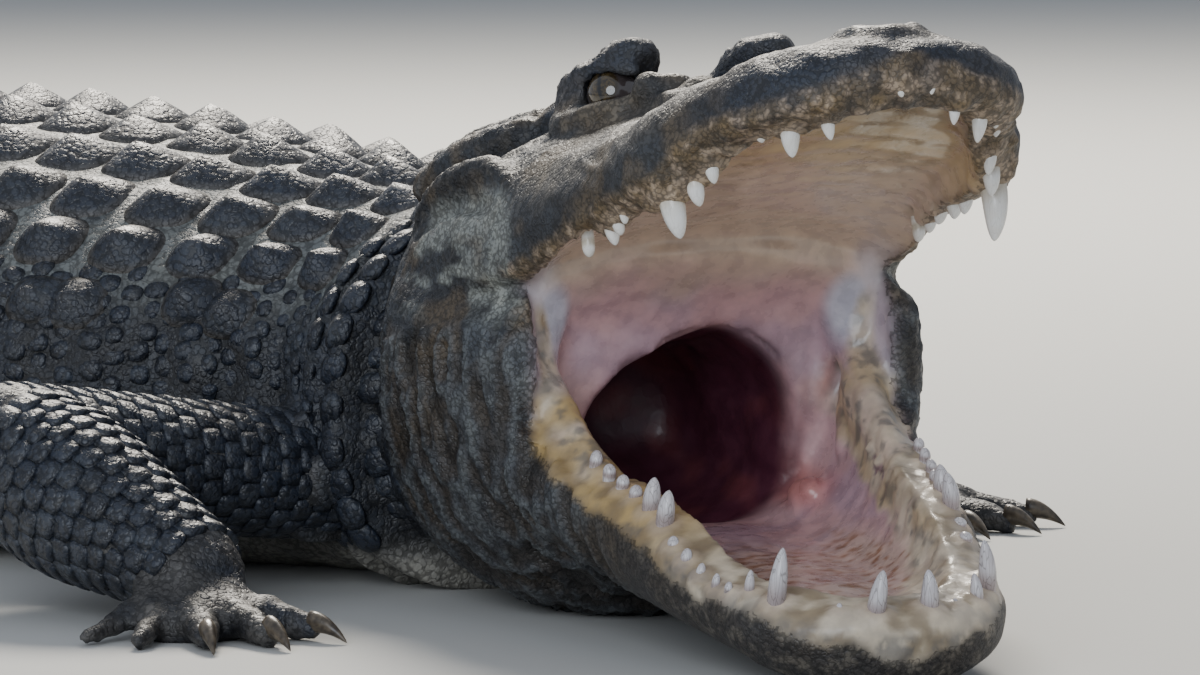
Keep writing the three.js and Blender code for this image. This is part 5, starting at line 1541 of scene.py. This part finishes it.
    def build(self) -> list[Object]:
        """Makes, shapes and tints the skin and parts it across the trunk."""
        made = remeshed(self.whole(), self.voxel)
        points = points_of(made)
        points = relaxed(made, points, np.full(len(points), 0.6), 3)
        move(made, points)
        normals = normals_of(made)
        s, turn = self.along(points)
        free = self.off_trunk(points, s)
        raised = self.folds(points, s, turn) * (1 - free) + free * 1.2 * soft_noise(points, 11, 44, 2)
        points = points + normals * raised[:, None]
        points[:, 2] = np.maximum(points[:, 2], 0.0)
        move(made, points)
        paint(made, "tint", self.tint(points, s, turn, free))
        paint(made, "wet", np.full(len(points), 0.12))
        return Parted(made, s > self.part_at).build(("skin_front", "skin_rear"))


# ---- eyes, teeth and claws


@dataclass
class Eyes:
    """Both eyeballs, each with a gold iris and an upright slit."""

    radius: float = 14.6
    iris: float = 0.66
    look: float = 52.0
    raise_look: float = 8.0
    slit_half: float = 0.085
    slit_up: float = 0.56

    def build(self, name: str) -> Object:
        """Makes the eye of one side."""
        side = SIDES[name]
        bm = bmesh.new()
        bmesh.ops.create_uvsphere(bm, u_segments=48, v_segments=28, radius=self.radius)
        frame_of_eye = shifted(EYE[0], side * EYE[1], EYE[2]) @ turned("Z", side * self.look)
        frame_of_eye = UPPER @ frame_of_eye @ turned("Y", -self.raise_look)
        bmesh.ops.transform(bm, matrix=Matrix(frame_of_eye @ turned("Y", 90)), verts=bm.verts[:])
        made = as_object(f"eyeball_{name}", bm)
        points = through(np.linalg.inv(frame_of_eye), points_of(made)) / self.radius
        made = finished(made, f"eyeball_{name}")
        from_axis = np.hypot(points[:, 1], points[:, 2])
        front = points[:, 0] > 0
        paint(made, "iris", np.where(front, smooth(from_axis, self.iris + 0.03, self.iris - 0.03), 0.0))
        paint(made, "ring", np.clip(from_axis / self.iris, 0, 1))
        across, up = np.abs(points[:, 1]), points[:, 2]
        slit = across - self.slit_half * np.sqrt(np.clip(1 - (up / self.slit_up) ** 2, 0, 1))
        paint(made, "pupil", np.where(front & (np.abs(up) < self.slit_up), smooth(slit, 0.03, -0.02), 0.0))
        return made


@dataclass
class Teeth:
    """One jaw's teeth: blunt curved crowns whose roots stand in the gum."""

    jaw: Jaw
    rows: dict[str, Path]
    sink: float = 8.0
    sides: int = 14
    rings: int = 10

    def __post_init__(self) -> None:
        """Takes the jaw's frame."""
        self.frame = UPPER if self.jaw is Jaw.UPPER else LOWER

    def crown(self, row: Sequence[float], side: float, vary: Array) -> Object:
        """Makes one crown."""
        x0, y0, z0, long, wide = row
        long = long * (0.95 + 0.1 * vary[0])
        down = -1.0 if self.jaw is Jaw.UPPER else 1.0
        blunt = 0.5 if long < 9 else 0.62
        lean_x, lean_y = (vary[1] - 0.5) * 0.16, (vary[2] - 0.5) * 0.14

        def form(t: Array, a: Array) -> Array:
            """Returns points of the crown, with t from 0 at the gum to 1 at the tip."""
            rise = np.where(t < 0, t * self.sink, t * long)
            taper = np.clip(1 - np.clip(t, 0, 1) ** 2.4, 0, 1) ** blunt
            r = 0.5 * wide * np.where(t < 0, 1 + 0.1 * t, np.maximum(taper, 0.0))
            bend = long * 0.16 * np.clip(t, 0, 1) ** 2
            x = x0 + r * np.cos(a) - bend + lean_x * rise
            y = side * (y0 - 0.6 * bend) + 0.86 * r * np.sin(a) + lean_y * rise
            return through(self.frame, columns(x, y, z0 + down * rise))

        stations = np.concatenate([[-1.0, -0.4, 0.0], eased(self.rings)[1:]])
        return lofted(stations, self.sides, form, "crown")

    def build(self) -> Object:
        """Makes the whole row on both sides as one piece."""
        pieces, heights = [], []
        start = 7 if self.jaw is Jaw.UPPER else 8
        for name, side in SIDES.items():
            for k, row in enumerate(self.rows[name]):
                vary = hashed(np.full(3, k), np.full(3, side + 2), np.arange(3), start)
                crown = self.crown(row, side, vary)
                in_jaw = through(np.linalg.inv(self.frame), points_of(crown))
                heights.append(np.clip(np.abs(in_jaw[:, 2] - row[2]) / row[3], 0, 1))
                pieces.append(crown)
        bm = bmesh.new()
        for piece in pieces:
            bm.from_mesh(piece.data)
            bpy.data.objects.remove(piece)
        made = finished(as_object("teeth", bm), f"teeth_{self.jaw.value}")
        paint(made, "rise", np.concatenate(heights))
        return made


@dataclass
class Claws:
    """The claws of one hand or foot, each on its own digit."""

    sides: int = 16

    def claw(self, start: Array, heading: float, row: Sequence[float]) -> Object:
        """Makes one claw, bent down from the end of a digit."""
        _, long, thick, reach = row
        root = thick * 0.66

        def form(t: Array, a: Array) -> Array:
            """Returns points of the claw, with t from 0 at the root to 1 at the tip."""
            ahead = long - 5 + thick * 0.1 + t * (reach + 5)
            height = thick * 1.1 * (1 - t**2.2) + 1.1
            r = root * np.clip(1 - t**1.5, 0, 1) ** 0.8 + 0.15
            over = 0.78 * r * np.cos(a)
            up = r * np.sin(a)
            x = start[0] + math.cos(heading) * ahead - math.sin(heading) * over
            y = start[1] + math.sin(heading) * ahead + math.cos(heading) * over
            return columns(x, y, np.maximum(height + up, 0.0))

        return lofted(eased(14), self.sides, form, "claw")

    def build(self, body: BodySkin) -> list[Object]:
        """Makes every claw of the animal."""
        made = []
        for paw in body.paws:
            kind = "hand" if paw.front else "foot"
            for i, digit in enumerate(body.digits(paw)):
                if digit.row[3]:
                    made.append(finished(self.claw(*digit), f"horn_{kind}_{i + 1}_{paw.name}"))
        return made


# ---- scutes and scales


@dataclass
class BackScutes:
    """The keeled scutes of nape, back and tail."""

    surface: BodySurface
    seed: int = 7

    KEELED = Plate(steps=8, keel=1.0, crown=0.55, peak=-0.3, sharp=1.5, square=2.6, lean=0.05)
    CREST = Plate(steps=6, keel=1.0, crown=0.16, peak=-0.5, sharp=2.2, lean=0.4)

    def rows(self) -> tuple[PlateRows, PlateRows]:
        """Returns the places and sizes of the keeled scutes and of the tail's crest."""
        draw = np.random.default_rng(self.seed)
        keeled, crest = [], []

        def grow(rows: PlateRows, s: float, turn: float, long: float, wide: float, high: float) -> None:
            """Adds a scute on each side, or one in the middle."""
            for side in (1.0,) if turn == 0 else (-1.0, 1.0):
                vary = draw.uniform(-1, 1, 4)
                rows.append([
                    s + 1.5 * vary[0], math.radians(side * turn), long / 2 * (1 + 0.04 * vary[1]),
                    wide / 2 * (1 + 0.05 * vary[2]), high * (1 + 0.12 * vary[3]), 3.0, 0.06 * vary[0],
                ])

        for s, turn, long, wide, high in (
            (15, 7.5, 26, 36, 8), (15, 22.5, 26, 34, 7), (49, 9, 44, 50, 17), (91, 9, 44, 50, 17),
            (70, 28, 42, 42, 13),
        ):
            grow(keeled, s, turn, long, wide, high)
        for s in np.arange(FIRST_ROW, TAIL_TIP - 60, ROW_STEP):
            girth = girth_at(self.surface, s, 0.4)
            cell = math.radians(15) * girth
            raised = float(np.clip((s - 780) / 700, 0, 1))
            if s < 1703:
                inner = float(np.interp(s, [1013, 1240, 1703], [7.5, 7.0, 4.8]))
                low = float(np.interp(s, [960, 1240, 1480], [13.5, 7, 4.5]))
                grow(keeled, s, inner, 43, cell * 0.93 * inner / 7.5, low)
            if s <= 967:
                grow(keeled, s, 37.5, 42, cell * 0.9, 14)
            if s <= 875:
                grow(keeled, s, 52.5, 40, cell * 0.82, 14)
            if 185 <= s <= 830:
                grow(keeled, s + 12 * (-1) ** round(s / ROW_STEP), 68 + 2 * math.sin(s), 36, 32, 11)
            if s < 1703:
                stops = [780, 1036, 1240, 1480, 1703]
                turn = float(np.interp(s, stops, [22.5, 21, 20.5, 18, 12]))
                high = float(np.interp(s, stops, [14, 18, 26, 31, 33]))
                share = float(np.interp(s, stops, [0.93, 0.8, 0.6, 0.5, 0.45]))
                grow(crest if raised > 0.3 else keeled, s, turn, 46, max(cell * share, 9), high)
            else:
                high = float(np.interp(s, [1703, 1749, 2100, 2350, 2485], [36, 40, 34, 22, 11]))
                grow(crest, s, 0, 46, 12, high)
        return keeled, crest

    def build(self) -> Object:
        """Makes the scutes as one piece."""
        keeled, crest = self.rows()
        coat = Coat("scutes_back")
        coat.add(self.KEELED, keeled)
        coat.add(self.CREST, crest)
        return dress_plates(coat.build(self.surface), back=True)


@dataclass
class SideScales:
    """The small scales of flanks, neck sides, tail sides and belly."""

    body: BodySkin
    seed: int = 9

    ROUND = Plate(steps=4, keel=0.25, crown=0.8, square=2.6)
    TILE = Plate(steps=4, keel=0.15, crown=0.85, square=6.0)

    def flank(self, draw: np.random.Generator) -> PlateRows:
        """Returns the places and sizes of the flanks' scales."""
        rows = []
        for i, s in enumerate(np.arange(110, 1000, 15.0)):
            step = 13.0 / girth_at(self.body.surface, s, 1.5)
            top = math.radians(float(np.interp(s, [870, 895, 970, 995], [60, 46, 45, 29])))
            for turn in np.arange(top, math.radians(112), step):
                for side in (-1, 1):
                    v = draw.uniform(-1, 1, 5)
                    rows.append([
                        s + 2.5 * v[0], side * (turn + step * (0.5 * (i % 2) + 0.16 * v[1])),
                        6.4 * (1 + 0.18 * v[2]), 5.3 * (1 + 0.18 * v[3]), 1.5 * (1 + 0.3 * v[4]), 2.0, 0.3 * v[0],
                    ])
        return rows

    def neck(self, draw: np.random.Generator) -> PlateRows:
        """Returns the places and sizes of the neck's larger scales."""
        rows = []
        for i, s in enumerate((-6, 16, 38, 58, 78, 98)):
            step = 20.0 / girth_at(self.body.surface, s, 1.5)
            for turn in np.arange(math.radians(38), math.radians(125), step):
                for side in (-1, 1):
                    v = draw.uniform(-1, 1, 5)
                    rows.append([
                        s + 1.5 * v[0], side * (turn + step * 0.5 * (i % 2)), 10.2 * (1 + 0.08 * v[2]),
                        8.8 * (1 + 0.08 * v[3]), 3.2 * (1 + 0.2 * v[4]), 3.0, 0.12 * v[0],
                    ])
        return rows

    def tail(self, draw: np.random.Generator) -> PlateRows:
        """Returns the places and sizes of the tail's tiles."""
        rows = []
        for s in np.arange(1000, 2480, 23.0):
            girth = girth_at(self.body.surface, s, 1.2)
            count = max(3, round(girth * math.radians(130) / 30))
            low = float(np.interp(s, [1000, 1500, 2500], [26, 24, 16]))
            for k in range(count):
                turn = math.radians(low + (150 - low) * (k + 0.5) / count)
                wide = math.radians((150 - low) / count) * girth / 2 * 0.93
                for side in (-1, 1):
                    v = draw.uniform(-1, 1, 3)
                    rows.append([s + 0.6 * v[0], side * turn, 10.9, wide, 1.7 * (1 + 0.2 * v[1]), 2.0, 0.03 * v[2]])
        return rows

    def build(self) -> list[Object]:
        """Makes the round scales of flanks and neck, and the tail's tiles."""
        draw = np.random.default_rng(self.seed)
        surface = self.body.surface
        flank = Coat("scales_flank")
        flank.add(self.ROUND, self.flank(draw))
        flank.add(self.ROUND, self.neck(draw))
        made = [dress_plates(flank.build(surface, relief=self.body.folds), back=False)]
        tail = Coat("scales_tail")
        tail.add(self.TILE, self.tail(draw))
        return made + [dress_plates(tail.build(surface, 0.0), back=False)]


def dress_plates(made: Object, back: bool) -> Object:
    """Tints plates by their height, and moves them into the part's frame.

    Args:
        made: The joined plates, with their "rise" and "grain".
        back: Whether they are the large scutes of the back.

    Returns:
        The finished piece.
    """
    rise, grain = (fetched(made.data.attributes[key].data, "value") for key in ("rise", "grain"))
    points = points_of(made)
    fine = soft_noise(points, 9, 61, 3)
    tint = Tint(CHARCOAL, len(points))
    tint.wash(NAVY, 0.4 + 0.5 * grain)
    tint.wash(SLATE, 0.35 * smooth(fine, -0.1, 0.7))
    # Tan in the gaps at the back scutes' roots and on every plate's top: some real dust, and mostly a painted
    # highlight of the light from behind.
    if back:
        tint.wash(TAN_DUST_AND_SUNLIGHT, smooth(rise, 0.12, 0.0) * 0.42)
    tint.wash(TAN_DUST_AND_SUNLIGHT, 0.30 * smooth(rise, 0.75, 1.0) * (0.6 + 0.4 * fine))
    paint(made, "tint", tint.values)
    paint(made, "wet", 0.18 + 0.15 * smooth(rise, 0.3, 0.9))
    return finished(made, made.name)


@dataclass
class LimbScales:
    """The overlapping scales of the limbs."""

    body: BodySkin
    seed: int = 12

    LAPPED = Plate(steps=4, square=5.0, ramp=0.8)

    def build(self) -> list[Object]:
        """Makes one piece for each limb length."""
        draw = np.random.default_rng(self.seed)
        made = []
        for name, surface in self.body.limbs:
            wide = 19.0 if name.startswith("thigh") else 15.0
            long = 15.0 if name.startswith("thigh") else 11.5
            rows = []
            for i, s in enumerate(np.arange(0.08 * surface.length, 1.04 * surface.length, long)):
                girth = girth_at(surface, s, 0.0)
                count = max(8, round(2 * math.pi * girth / wide))
                for k in range(count):
                    turn = 2 * math.pi * (k + 0.5 * (i % 2)) / count
                    v = draw.uniform(-1, 1, 4)
                    small = 0.75 + 0.25 * (0.5 + 0.5 * math.cos(turn))
                    rows.append([
                        s + 0.8 * v[0], turn, long * 0.64 * (0.85 + 0.15 * small), wide * 0.49 * (1 + 0.04 * v[3]),
                        3.4 * small * (1 + 0.15 * v[1]), 3.0, 0.07 * v[2],
                    ])
            coat = Coat(f"scales_{name}")
            coat.add(self.LAPPED, rows)
            made.append(dress_plates(coat.build(surface, 0.0), back=False))
        return made


# ---- materials


class Graph:
    """Lays out nodes by short calls."""

    def __init__(self, tree: Tree) -> None:
        """Takes the tree to fill."""
        self.tree = tree
        self.count = 0

    def fill(self, node: bpy.types.Node, inputs: Inputs) -> None:
        """Sets or links a node's inputs."""
        for key, value in inputs.items():
            if isinstance(value, bpy.types.NodeSocket):
                self.tree.links.new(value, node.inputs[key])
            else:
                node.inputs[key].default_value = value

    def add(self, kind: str, inputs: Inputs | None = None, **settings: object) -> bpy.types.Node:
        """Adds a node.

        Args:
            kind: The node's type without ShaderNode.
            inputs: Values or sockets for its inputs.
            settings: Its properties.

        Returns:
            The node.
        """
        node = self.tree.nodes.new(f"ShaderNode{kind}")
        node.location = (-1400 + 190 * (self.count % 8), 500 - 230 * (self.count // 8))
        self.count += 1
        for key, value in settings.items():
            setattr(node, key, value)
        self.fill(node, inputs or {})
        return node

    def shade(self, inputs: Inputs) -> None:
        """Sets or links the inputs of a material's main shader."""
        self.fill(self.tree.nodes["Principled BSDF"], inputs)

    def maths(self, operation: str, *values: object, clamp: bool = False) -> Socket:
        """Returns the result of a sum."""
        return self.add("Math", dict(enumerate(values)), operation=operation, use_clamp=clamp).outputs[0]

    def ranged(self, value: object, low: float, high: float, to_low: float = 0.0, to_high: float = 1.0) -> Socket:
        """Returns a value moved smoothly from one range to another."""
        inputs = dict(enumerate((value, low, high, to_low, to_high)))
        return self.add("MapRange", inputs, interpolation_type="SMOOTHSTEP").outputs[0]

    def mixed(self, share: object, first: object, second: object, blend: str = "MIX") -> Socket:
        """Returns a mix of two colours."""
        inputs = {0: share, 6: first, 7: second}
        return self.add("Mix", inputs, data_type="RGBA", blend_type=blend, clamp_factor=True).outputs[2]

    def attribute(self, name: str, colour: bool = False) -> Socket:
        """Returns a stored number or colour."""
        return self.add("Attribute", attribute_name=name).outputs[0 if colour else 2]

    def raised(self, strength: float, distance: float, height: Socket) -> Socket:
        """Returns normals that follow a height."""
        return self.add("Bump", {"Strength": strength, "Distance": distance, "Height": height}).outputs["Normal"]


def rgba(colour: Sequence[float]) -> tuple[float, float, float, float]:
    """Returns a colour with full cover."""
    return (*colour, 1.0)


class Groups:
    """The effects that several finishes share."""

    @staticmethod
    def new(
        name: str, inputs: Sequence[tuple[str, str, object]], outputs: Sequence[str],
    ) -> tuple[Graph, bpy.types.Node, bpy.types.Node]:
        """Starts a group.

        Args:
            name: The group's name.
            inputs: Names, kinds and first values.
            outputs: Names of the numbers it puts out.

        Returns:
            Its graph, its input node and its output node.
        """
        tree = bpy.data.node_groups.new(name, "ShaderNodeTree")
        for label, kind, value in inputs:
            socket = tree.interface.new_socket(label, in_out="INPUT", socket_type=f"NodeSocket{kind}")
            if value is not None:
                socket.default_value = value
        for label in outputs:
            tree.interface.new_socket(label, in_out="OUTPUT", socket_type="NodeSocketFloat")
        return Graph(tree), tree.nodes.new("NodeGroupInput"), tree.nodes.new("NodeGroupOutput")

    @staticmethod
    def leather() -> Tree:
        """Makes the fine pebbles and creases of hide."""
        graph, start, end = Groups.new(
            "fine_leather", [("Place", "Vector", None), ("Scale", "Float", 300.0), ("Crease", "Float", 0.5)],
            ["Height", "Groove", "Speck"],
        )
        place, scale = start.outputs["Place"], start.outputs["Scale"]
        cells = graph.add("TexVoronoi", {"Vector": place, "Scale": scale}, feature="F1")
        groove = graph.ranged(cells.outputs["Distance"], 0.42, 0.72)
        wide = graph.maths("MULTIPLY", scale, 0.34)
        creases = graph.add("TexNoise", {"Vector": place, "Scale": wide, "Detail": 2.0})
        line = graph.maths("ABSOLUTE", graph.maths("SUBTRACT", creases.outputs["Fac"], 0.5))
        crease = graph.maths("MULTIPLY", graph.ranged(line, 0.0, 0.035, 1.0, 0.0), start.outputs["Crease"])
        both = graph.maths("MAXIMUM", groove, crease)
        small = graph.maths("MULTIPLY", scale, 3.2)
        fine = graph.add("TexNoise", {"Vector": place, "Scale": small, "Detail": 1.0}).outputs["Fac"]
        height = graph.maths("SUBTRACT", graph.maths("MULTIPLY", fine, 0.4), both)
        graph.fill(end, {"Height": height, "Groove": both, "Speck": graph.ranged(fine, 0.56, 0.72)})
        return graph.tree

    @staticmethod
    def mottle() -> Tree:
        """Makes soft blotches."""
        graph, start, end = Groups.new(
            "mottle",
            [("Place", "Vector", None), ("Scale", "Float", 30.0), ("Low", "Float", 0.4), ("High", "Float", 0.65)],
            ["Mask"],
        )
        place, scale, low, high = (start.outputs[name] for name in ("Place", "Scale", "Low", "High"))
        noise = graph.add("TexNoise", {"Vector": place, "Scale": scale, "Detail": 3.0}).outputs["Fac"]
        graph.fill(end, {"Mask": graph.add("MapRange", {0: noise, 1: low, 2: high}).outputs[0]})
        return graph.tree


@dataclass(frozen=True)
class Finish:
    """A material with soft blotches, over which each kind lays its own looks."""

    name: str

    def start(
        self, effects: Effects, fineness: float, low: float, high: float,
    ) -> tuple[Material, Graph, Socket, Socket]:
        """Begins the material.

        Args:
            effects: The shared effects.
            fineness: How many blotches there are in a metre, about.
            low: The noise at which a blotch begins.
            high: The noise at which it is full.

        Returns:
            The material, its graph, the place on the piece and the blotches' mask.
        """
        material = bpy.data.materials.new(self.name)
        material.use_nodes = True
        graph = Graph(material.node_tree)
        place = graph.add("TexCoord").outputs["Object"]
        inputs = {"Place": place, "Scale": fineness, "Low": low, "High": high}
        return material, graph, place, graph.add("Group", inputs, node_tree=effects["mottle"]).outputs["Mask"]


@dataclass(frozen=True)
class TintedFinish(Finish):
    """Hide, horn or lining whose colour is stored in the mesh, with fine grain of its own."""

    grain: float = 300.0
    crease: float = 0.5
    bump: float = 0.35
    depth: float = 0.0012
    dry: float = 0.62
    moist: float = 0.22
    groove_dark: float = 0.45
    specks: float = 0.25
    coat: float = 0.0

    def material(self, effects: Effects) -> Material:
        """Builds the material."""
        material, graph, place, mottle = self.start(effects, 85.0, 0.35, 0.7)
        inputs = {"Place": place, "Scale": self.grain, "Crease": self.crease}
        leather = graph.add("Group", inputs, node_tree=effects["leather"])
        tint = graph.attribute("tint", colour=True)
        varied = graph.mixed(mottle, graph.mixed(1.0, tint, rgba(BLOTCH_SHADE), "MULTIPLY"), tint)
        # Painted shade in the leather's grooves and creases: the colour darkens there by groove_dark.
        dark = graph.mixed(1.0, varied, rgba((self.groove_dark,) * 3), "MULTIPLY")
        grooved = graph.mixed(leather.outputs["Groove"], varied, dark)
        speck = graph.maths("MULTIPLY", leather.outputs["Speck"], self.specks)
        wet = graph.attribute("wet")
        rough = graph.ranged(wet, 0.0, 1.0, self.dry, self.moist)
        spread = graph.maths("MULTIPLY", graph.maths("SUBTRACT", mottle, 0.5), 0.16)
        graph.shade({
            "Base Color": graph.mixed(speck, grooved, rgba(SPECK)),
            "Roughness": graph.maths("ADD", rough, spread, clamp=True),
            "Normal": graph.raised(self.bump, self.depth, leather.outputs["Height"]),
        })
        if self.coat:
            graph.shade({"Coat Weight": graph.maths("MULTIPLY", wet, self.coat), "Coat Roughness": 0.14})
        return material


@dataclass(frozen=True)
class ToothFinish(Finish):
    """Enamel that is darker at its root and finely cracked along its length."""

    tip: Colour
    root: Colour
    cracks: float

    def material(self, effects: Effects) -> Material:
        """Builds the material."""
        material, graph, place, mottle = self.start(effects, 160.0, 0.42, 0.62)
        along = graph.add("Mapping", {"Vector": place, "Scale": (1.0, 1.0, 0.12)}).outputs[0]
        lines = graph.add("TexVoronoi", {"Vector": along, "Scale": 520.0}, feature="DISTANCE_TO_EDGE")
        crack = graph.maths("MULTIPLY", graph.ranged(lines.outputs["Distance"], 0.0, 0.07, 1.0, 0.0), self.cracks)
        share = graph.ranged(graph.attribute("rise"), 0.08, 0.5)
        colour = graph.mixed(share, rgba(self.root), rgba(self.tip))
        colour = graph.mixed(graph.maths("MULTIPLY", mottle, 0.25), colour, rgba(self.root))
        graph.shade({
            "Base Color": graph.mixed(crack, colour, rgba(TOOTH_CRACK)),
            "Roughness": graph.ranged(mottle, 0.0, 1.0, 0.2, 0.34),
            "Normal": graph.raised(0.25, 0.0004, graph.maths("SUBTRACT", 1.0, crack)),
            "Coat Weight": 0.4,
            "Coat Roughness": 0.08,
        })
        return material


@dataclass(frozen=True)
class HornFinish(Finish):
    """The dark horn of the claws."""

    def material(self, effects: Effects) -> Material:
        """Builds the material."""
        material, graph, _, mottle = self.start(effects, 220.0, 0.35, 0.7)
        graph.shade({
            "Base Color": graph.mixed(mottle, rgba(HORN_DARK), rgba(HORN_BROWN)),
            "Roughness": graph.ranged(mottle, 0.0, 1.0, 0.28, 0.45),
            "Normal": graph.raised(0.3, 0.0004, mottle),
        })
        return material


@dataclass(frozen=True)
class EyeFinish(Finish):
    """A wet eye with a dull gold iris and an upright slit."""

    def material(self, effects: Effects) -> Material:
        """Builds the material."""
        material, graph, _, mottle = self.start(effects, 700.0, 0.35, 0.65)
        gold = graph.mixed(mottle, rgba(IRIS_DARK), rgba(IRIS_GOLD))
        ringed = graph.mixed(graph.ranged(graph.attribute("ring"), 0.7, 1.0), gold, rgba(IRIS_RIM))
        white = graph.mixed(graph.attribute("iris"), rgba(EYE_WHITE), ringed)
        graph.shade({
            "Base Color": graph.mixed(graph.attribute("pupil"), white, rgba(PUPIL)),
            "Roughness": graph.ranged(mottle, 0.0, 1.0, 0.06, 0.1),
            "Coat Weight": 1.0,
            "Coat Roughness": 0.02,
        })
        return material


# ---- the studio


@dataclass
class Studio:
    """A pale floor, soft light and the camera of the photograph."""

    pixels: float = 7415.0
    width: float = 1200.0
    distance: float = 5.466
    rise: float = 5.5
    aim: tuple[float, float] = (0.017, -1.466)
    facing: tuple[float, float] = (0.78801, 0.61566)

    def camera(self) -> None:
        """Sets the camera at the photograph's angle and framing."""
        rise = math.radians(self.rise)
        cosine, sine = self.facing
        ex, ey = Vector((cosine, -sine, 0)), Vector((sine, cosine, 0))

        def in_part(v: Vector) -> Vector:
            """Returns a vector of the camera's frame in the part's."""
            return Vector((v.dot(ex), v.dot(ey), v.z))

        eye = Vector((0, -math.cos(rise) * self.distance, math.sin(rise) * self.distance))
        ahead = in_part(Vector((0, math.cos(rise), -math.sin(rise))))
        up = in_part(Vector((0, math.sin(rise), math.cos(rise))))
        matrix = Matrix((ahead.cross(up), up, -ahead)).transposed().to_4x4()
        matrix.translation = in_part(eye - Vector((*self.aim, 0))) + Vector(PLACE_IN_PART * MM)
        data = bpy.data.cameras.new("camera")
        data.sensor_width = 36.0
        data.lens = self.pixels / self.width * data.sensor_width
        data.clip_start, data.clip_end = 0.05, 100.0
        made = bpy.data.objects.new("camera", data)
        made.matrix_world = matrix
        bpy.context.scene.collection.objects.link(made)
        bpy.context.scene.camera = made

    @staticmethod
    def area(name: str, place: Place, target: Place, size: float, power: float, colour: Colour) -> None:
        """Hangs one soft light that faces a target."""
        data = bpy.data.lights.new(name, "AREA")
        data.shape, data.size, data.energy, data.color = "DISK", size, power, colour
        made = bpy.data.objects.new(name, data)
        made.location = place
        made.rotation_euler = (Vector(target) - Vector(place)).to_track_quat("-Z", "Y").to_euler()
        bpy.context.scene.collection.objects.link(made)

    def build(self) -> None:
        """Sets floor, world, lights and camera."""
        self.camera()
        bm = bmesh.new()
        bmesh.ops.create_circle(bm, cap_ends=True, segments=96, radius=40.0)
        floor = as_object("floor", bm)
        material = bpy.data.materials.new("pale_floor")
        material.use_nodes = True
        Graph(material.node_tree).shade({"Base Color": rgba(FLOOR_GREY), "Roughness": 0.9})
        floor.data.materials.append(material)
        world = bpy.data.worlds.new("studio")
        world.use_nodes = True
        Graph(world.node_tree).fill(world.node_tree.nodes["Background"], {0: rgba(SKY), 1: 0.55})
        bpy.context.scene.world = world
        self.area("key_behind", (-1.4, 2.6, 3.2), (0.9, -0.1, 0.2), 1.6, 420, (1.0, 0.93, 0.82))
        self.area("fill_front", (2.6, -4.2, 1.8), (1.2, -0.2, 0.15), 3.0, 110, (0.86, 0.92, 1.0))


# ---- the whole animal


class Alligator:
    """The animal: its skins, scutes, scales, eyes, teeth and claws."""

    def finish(self, made: Object, material: Material, slot: str, *nodes: str) -> None:
        """Dresses a piece and gives it its place in the part."""
        made.data.materials.clear()
        made.data.materials.append(material)
        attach(made, "root")
        if nodes:
            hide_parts(*nodes)
        made.data.calc_loop_triangles()
        LOG.info("%s: %d triangles", made.name, len(made.data.loop_triangles))

    def build(self) -> None:
        """Builds and dresses every piece."""
        effects = {"leather": Groups.leather(), "mottle": Groups.mottle()}
        hide = TintedFinish("hide_leather", crease=0.8, bump=0.45, dry=0.56, specks=0.12).material(effects)
        head_hide = TintedFinish(
            "head_hide", grain=400.0, crease=0.9, bump=0.4, depth=0.0013, moist=0.3, specks=0.08,
        ).material(effects)
        horn = TintedFinish("scute_horn", bump=0.4, dry=0.52, moist=0.25, specks=0.12).material(effects)
        lining = TintedFinish(
            "mouth_lining", grain=150.0, crease=0.25, bump=0.10, dry=0.55, moist=0.3, groove_dark=0.97,
            specks=0.0, coat=0.35,
        ).material(effects)
        skin, mouth = HeadSkin().build()
        self.finish(skin, head_hide, "hide", "head", "lower_jaw")
        self.finish(mouth, lining, "mouth_lining", "throat", "tongue")
        body = BodySkin()
        front, rear = body.build()
        arms = [f"{part}_{side}" for part in ("upper_arm", "forearm", "hand") for side in SIDES]
        legs = [f"{part}_{side}" for part in ("thigh", "shank", "foot") for side in SIDES]
        self.finish(front, hide, "hide", "neck", "torso_front", *arms)
        self.finish(rear, hide, "hide", "torso_rear", *(f"tail_{i}" for i in range(1, 6)), *legs)
        self.finish(BackScutes(body.surface).build(), horn, "hide")
        for piece in SideScales(body).build() + LimbScales(body).build():
            self.finish(piece, horn, "hide")
        wet = EyeFinish("eye_wet").material(effects)
        for side in SIDES:
            self.finish(Eyes().build(side), wet, "eye", f"eye_{side}")
        white = ToothFinish("enamel_white", ENAMEL_WHITE, ENAMEL_WHITE_ROOT, 0.15).material(effects)
        grey = ToothFinish("enamel_grey", ENAMEL_GREY, ENAMEL_GREY_ROOT, 0.6).material(effects)
        self.finish(Teeth(Jaw.UPPER, UPPER_TEETH).build(), white, "claw")
        self.finish(Teeth(Jaw.LOWER, LOWER_TEETH).build(), grey, "claw")
        claw_horn = HornFinish("claw_horn").material(effects)
        for claw in Claws().build(body):
            self.finish(claw, claw_horn, "claw", claw.name.replace("horn", "claw", 1))


def main() -> None:
    """Builds the studio and the animal."""
    logging.basicConfig(level=logging.INFO, format="%(message)s")
    Studio().build()
    Alligator().build()


if __name__ == "__main__":
    main()
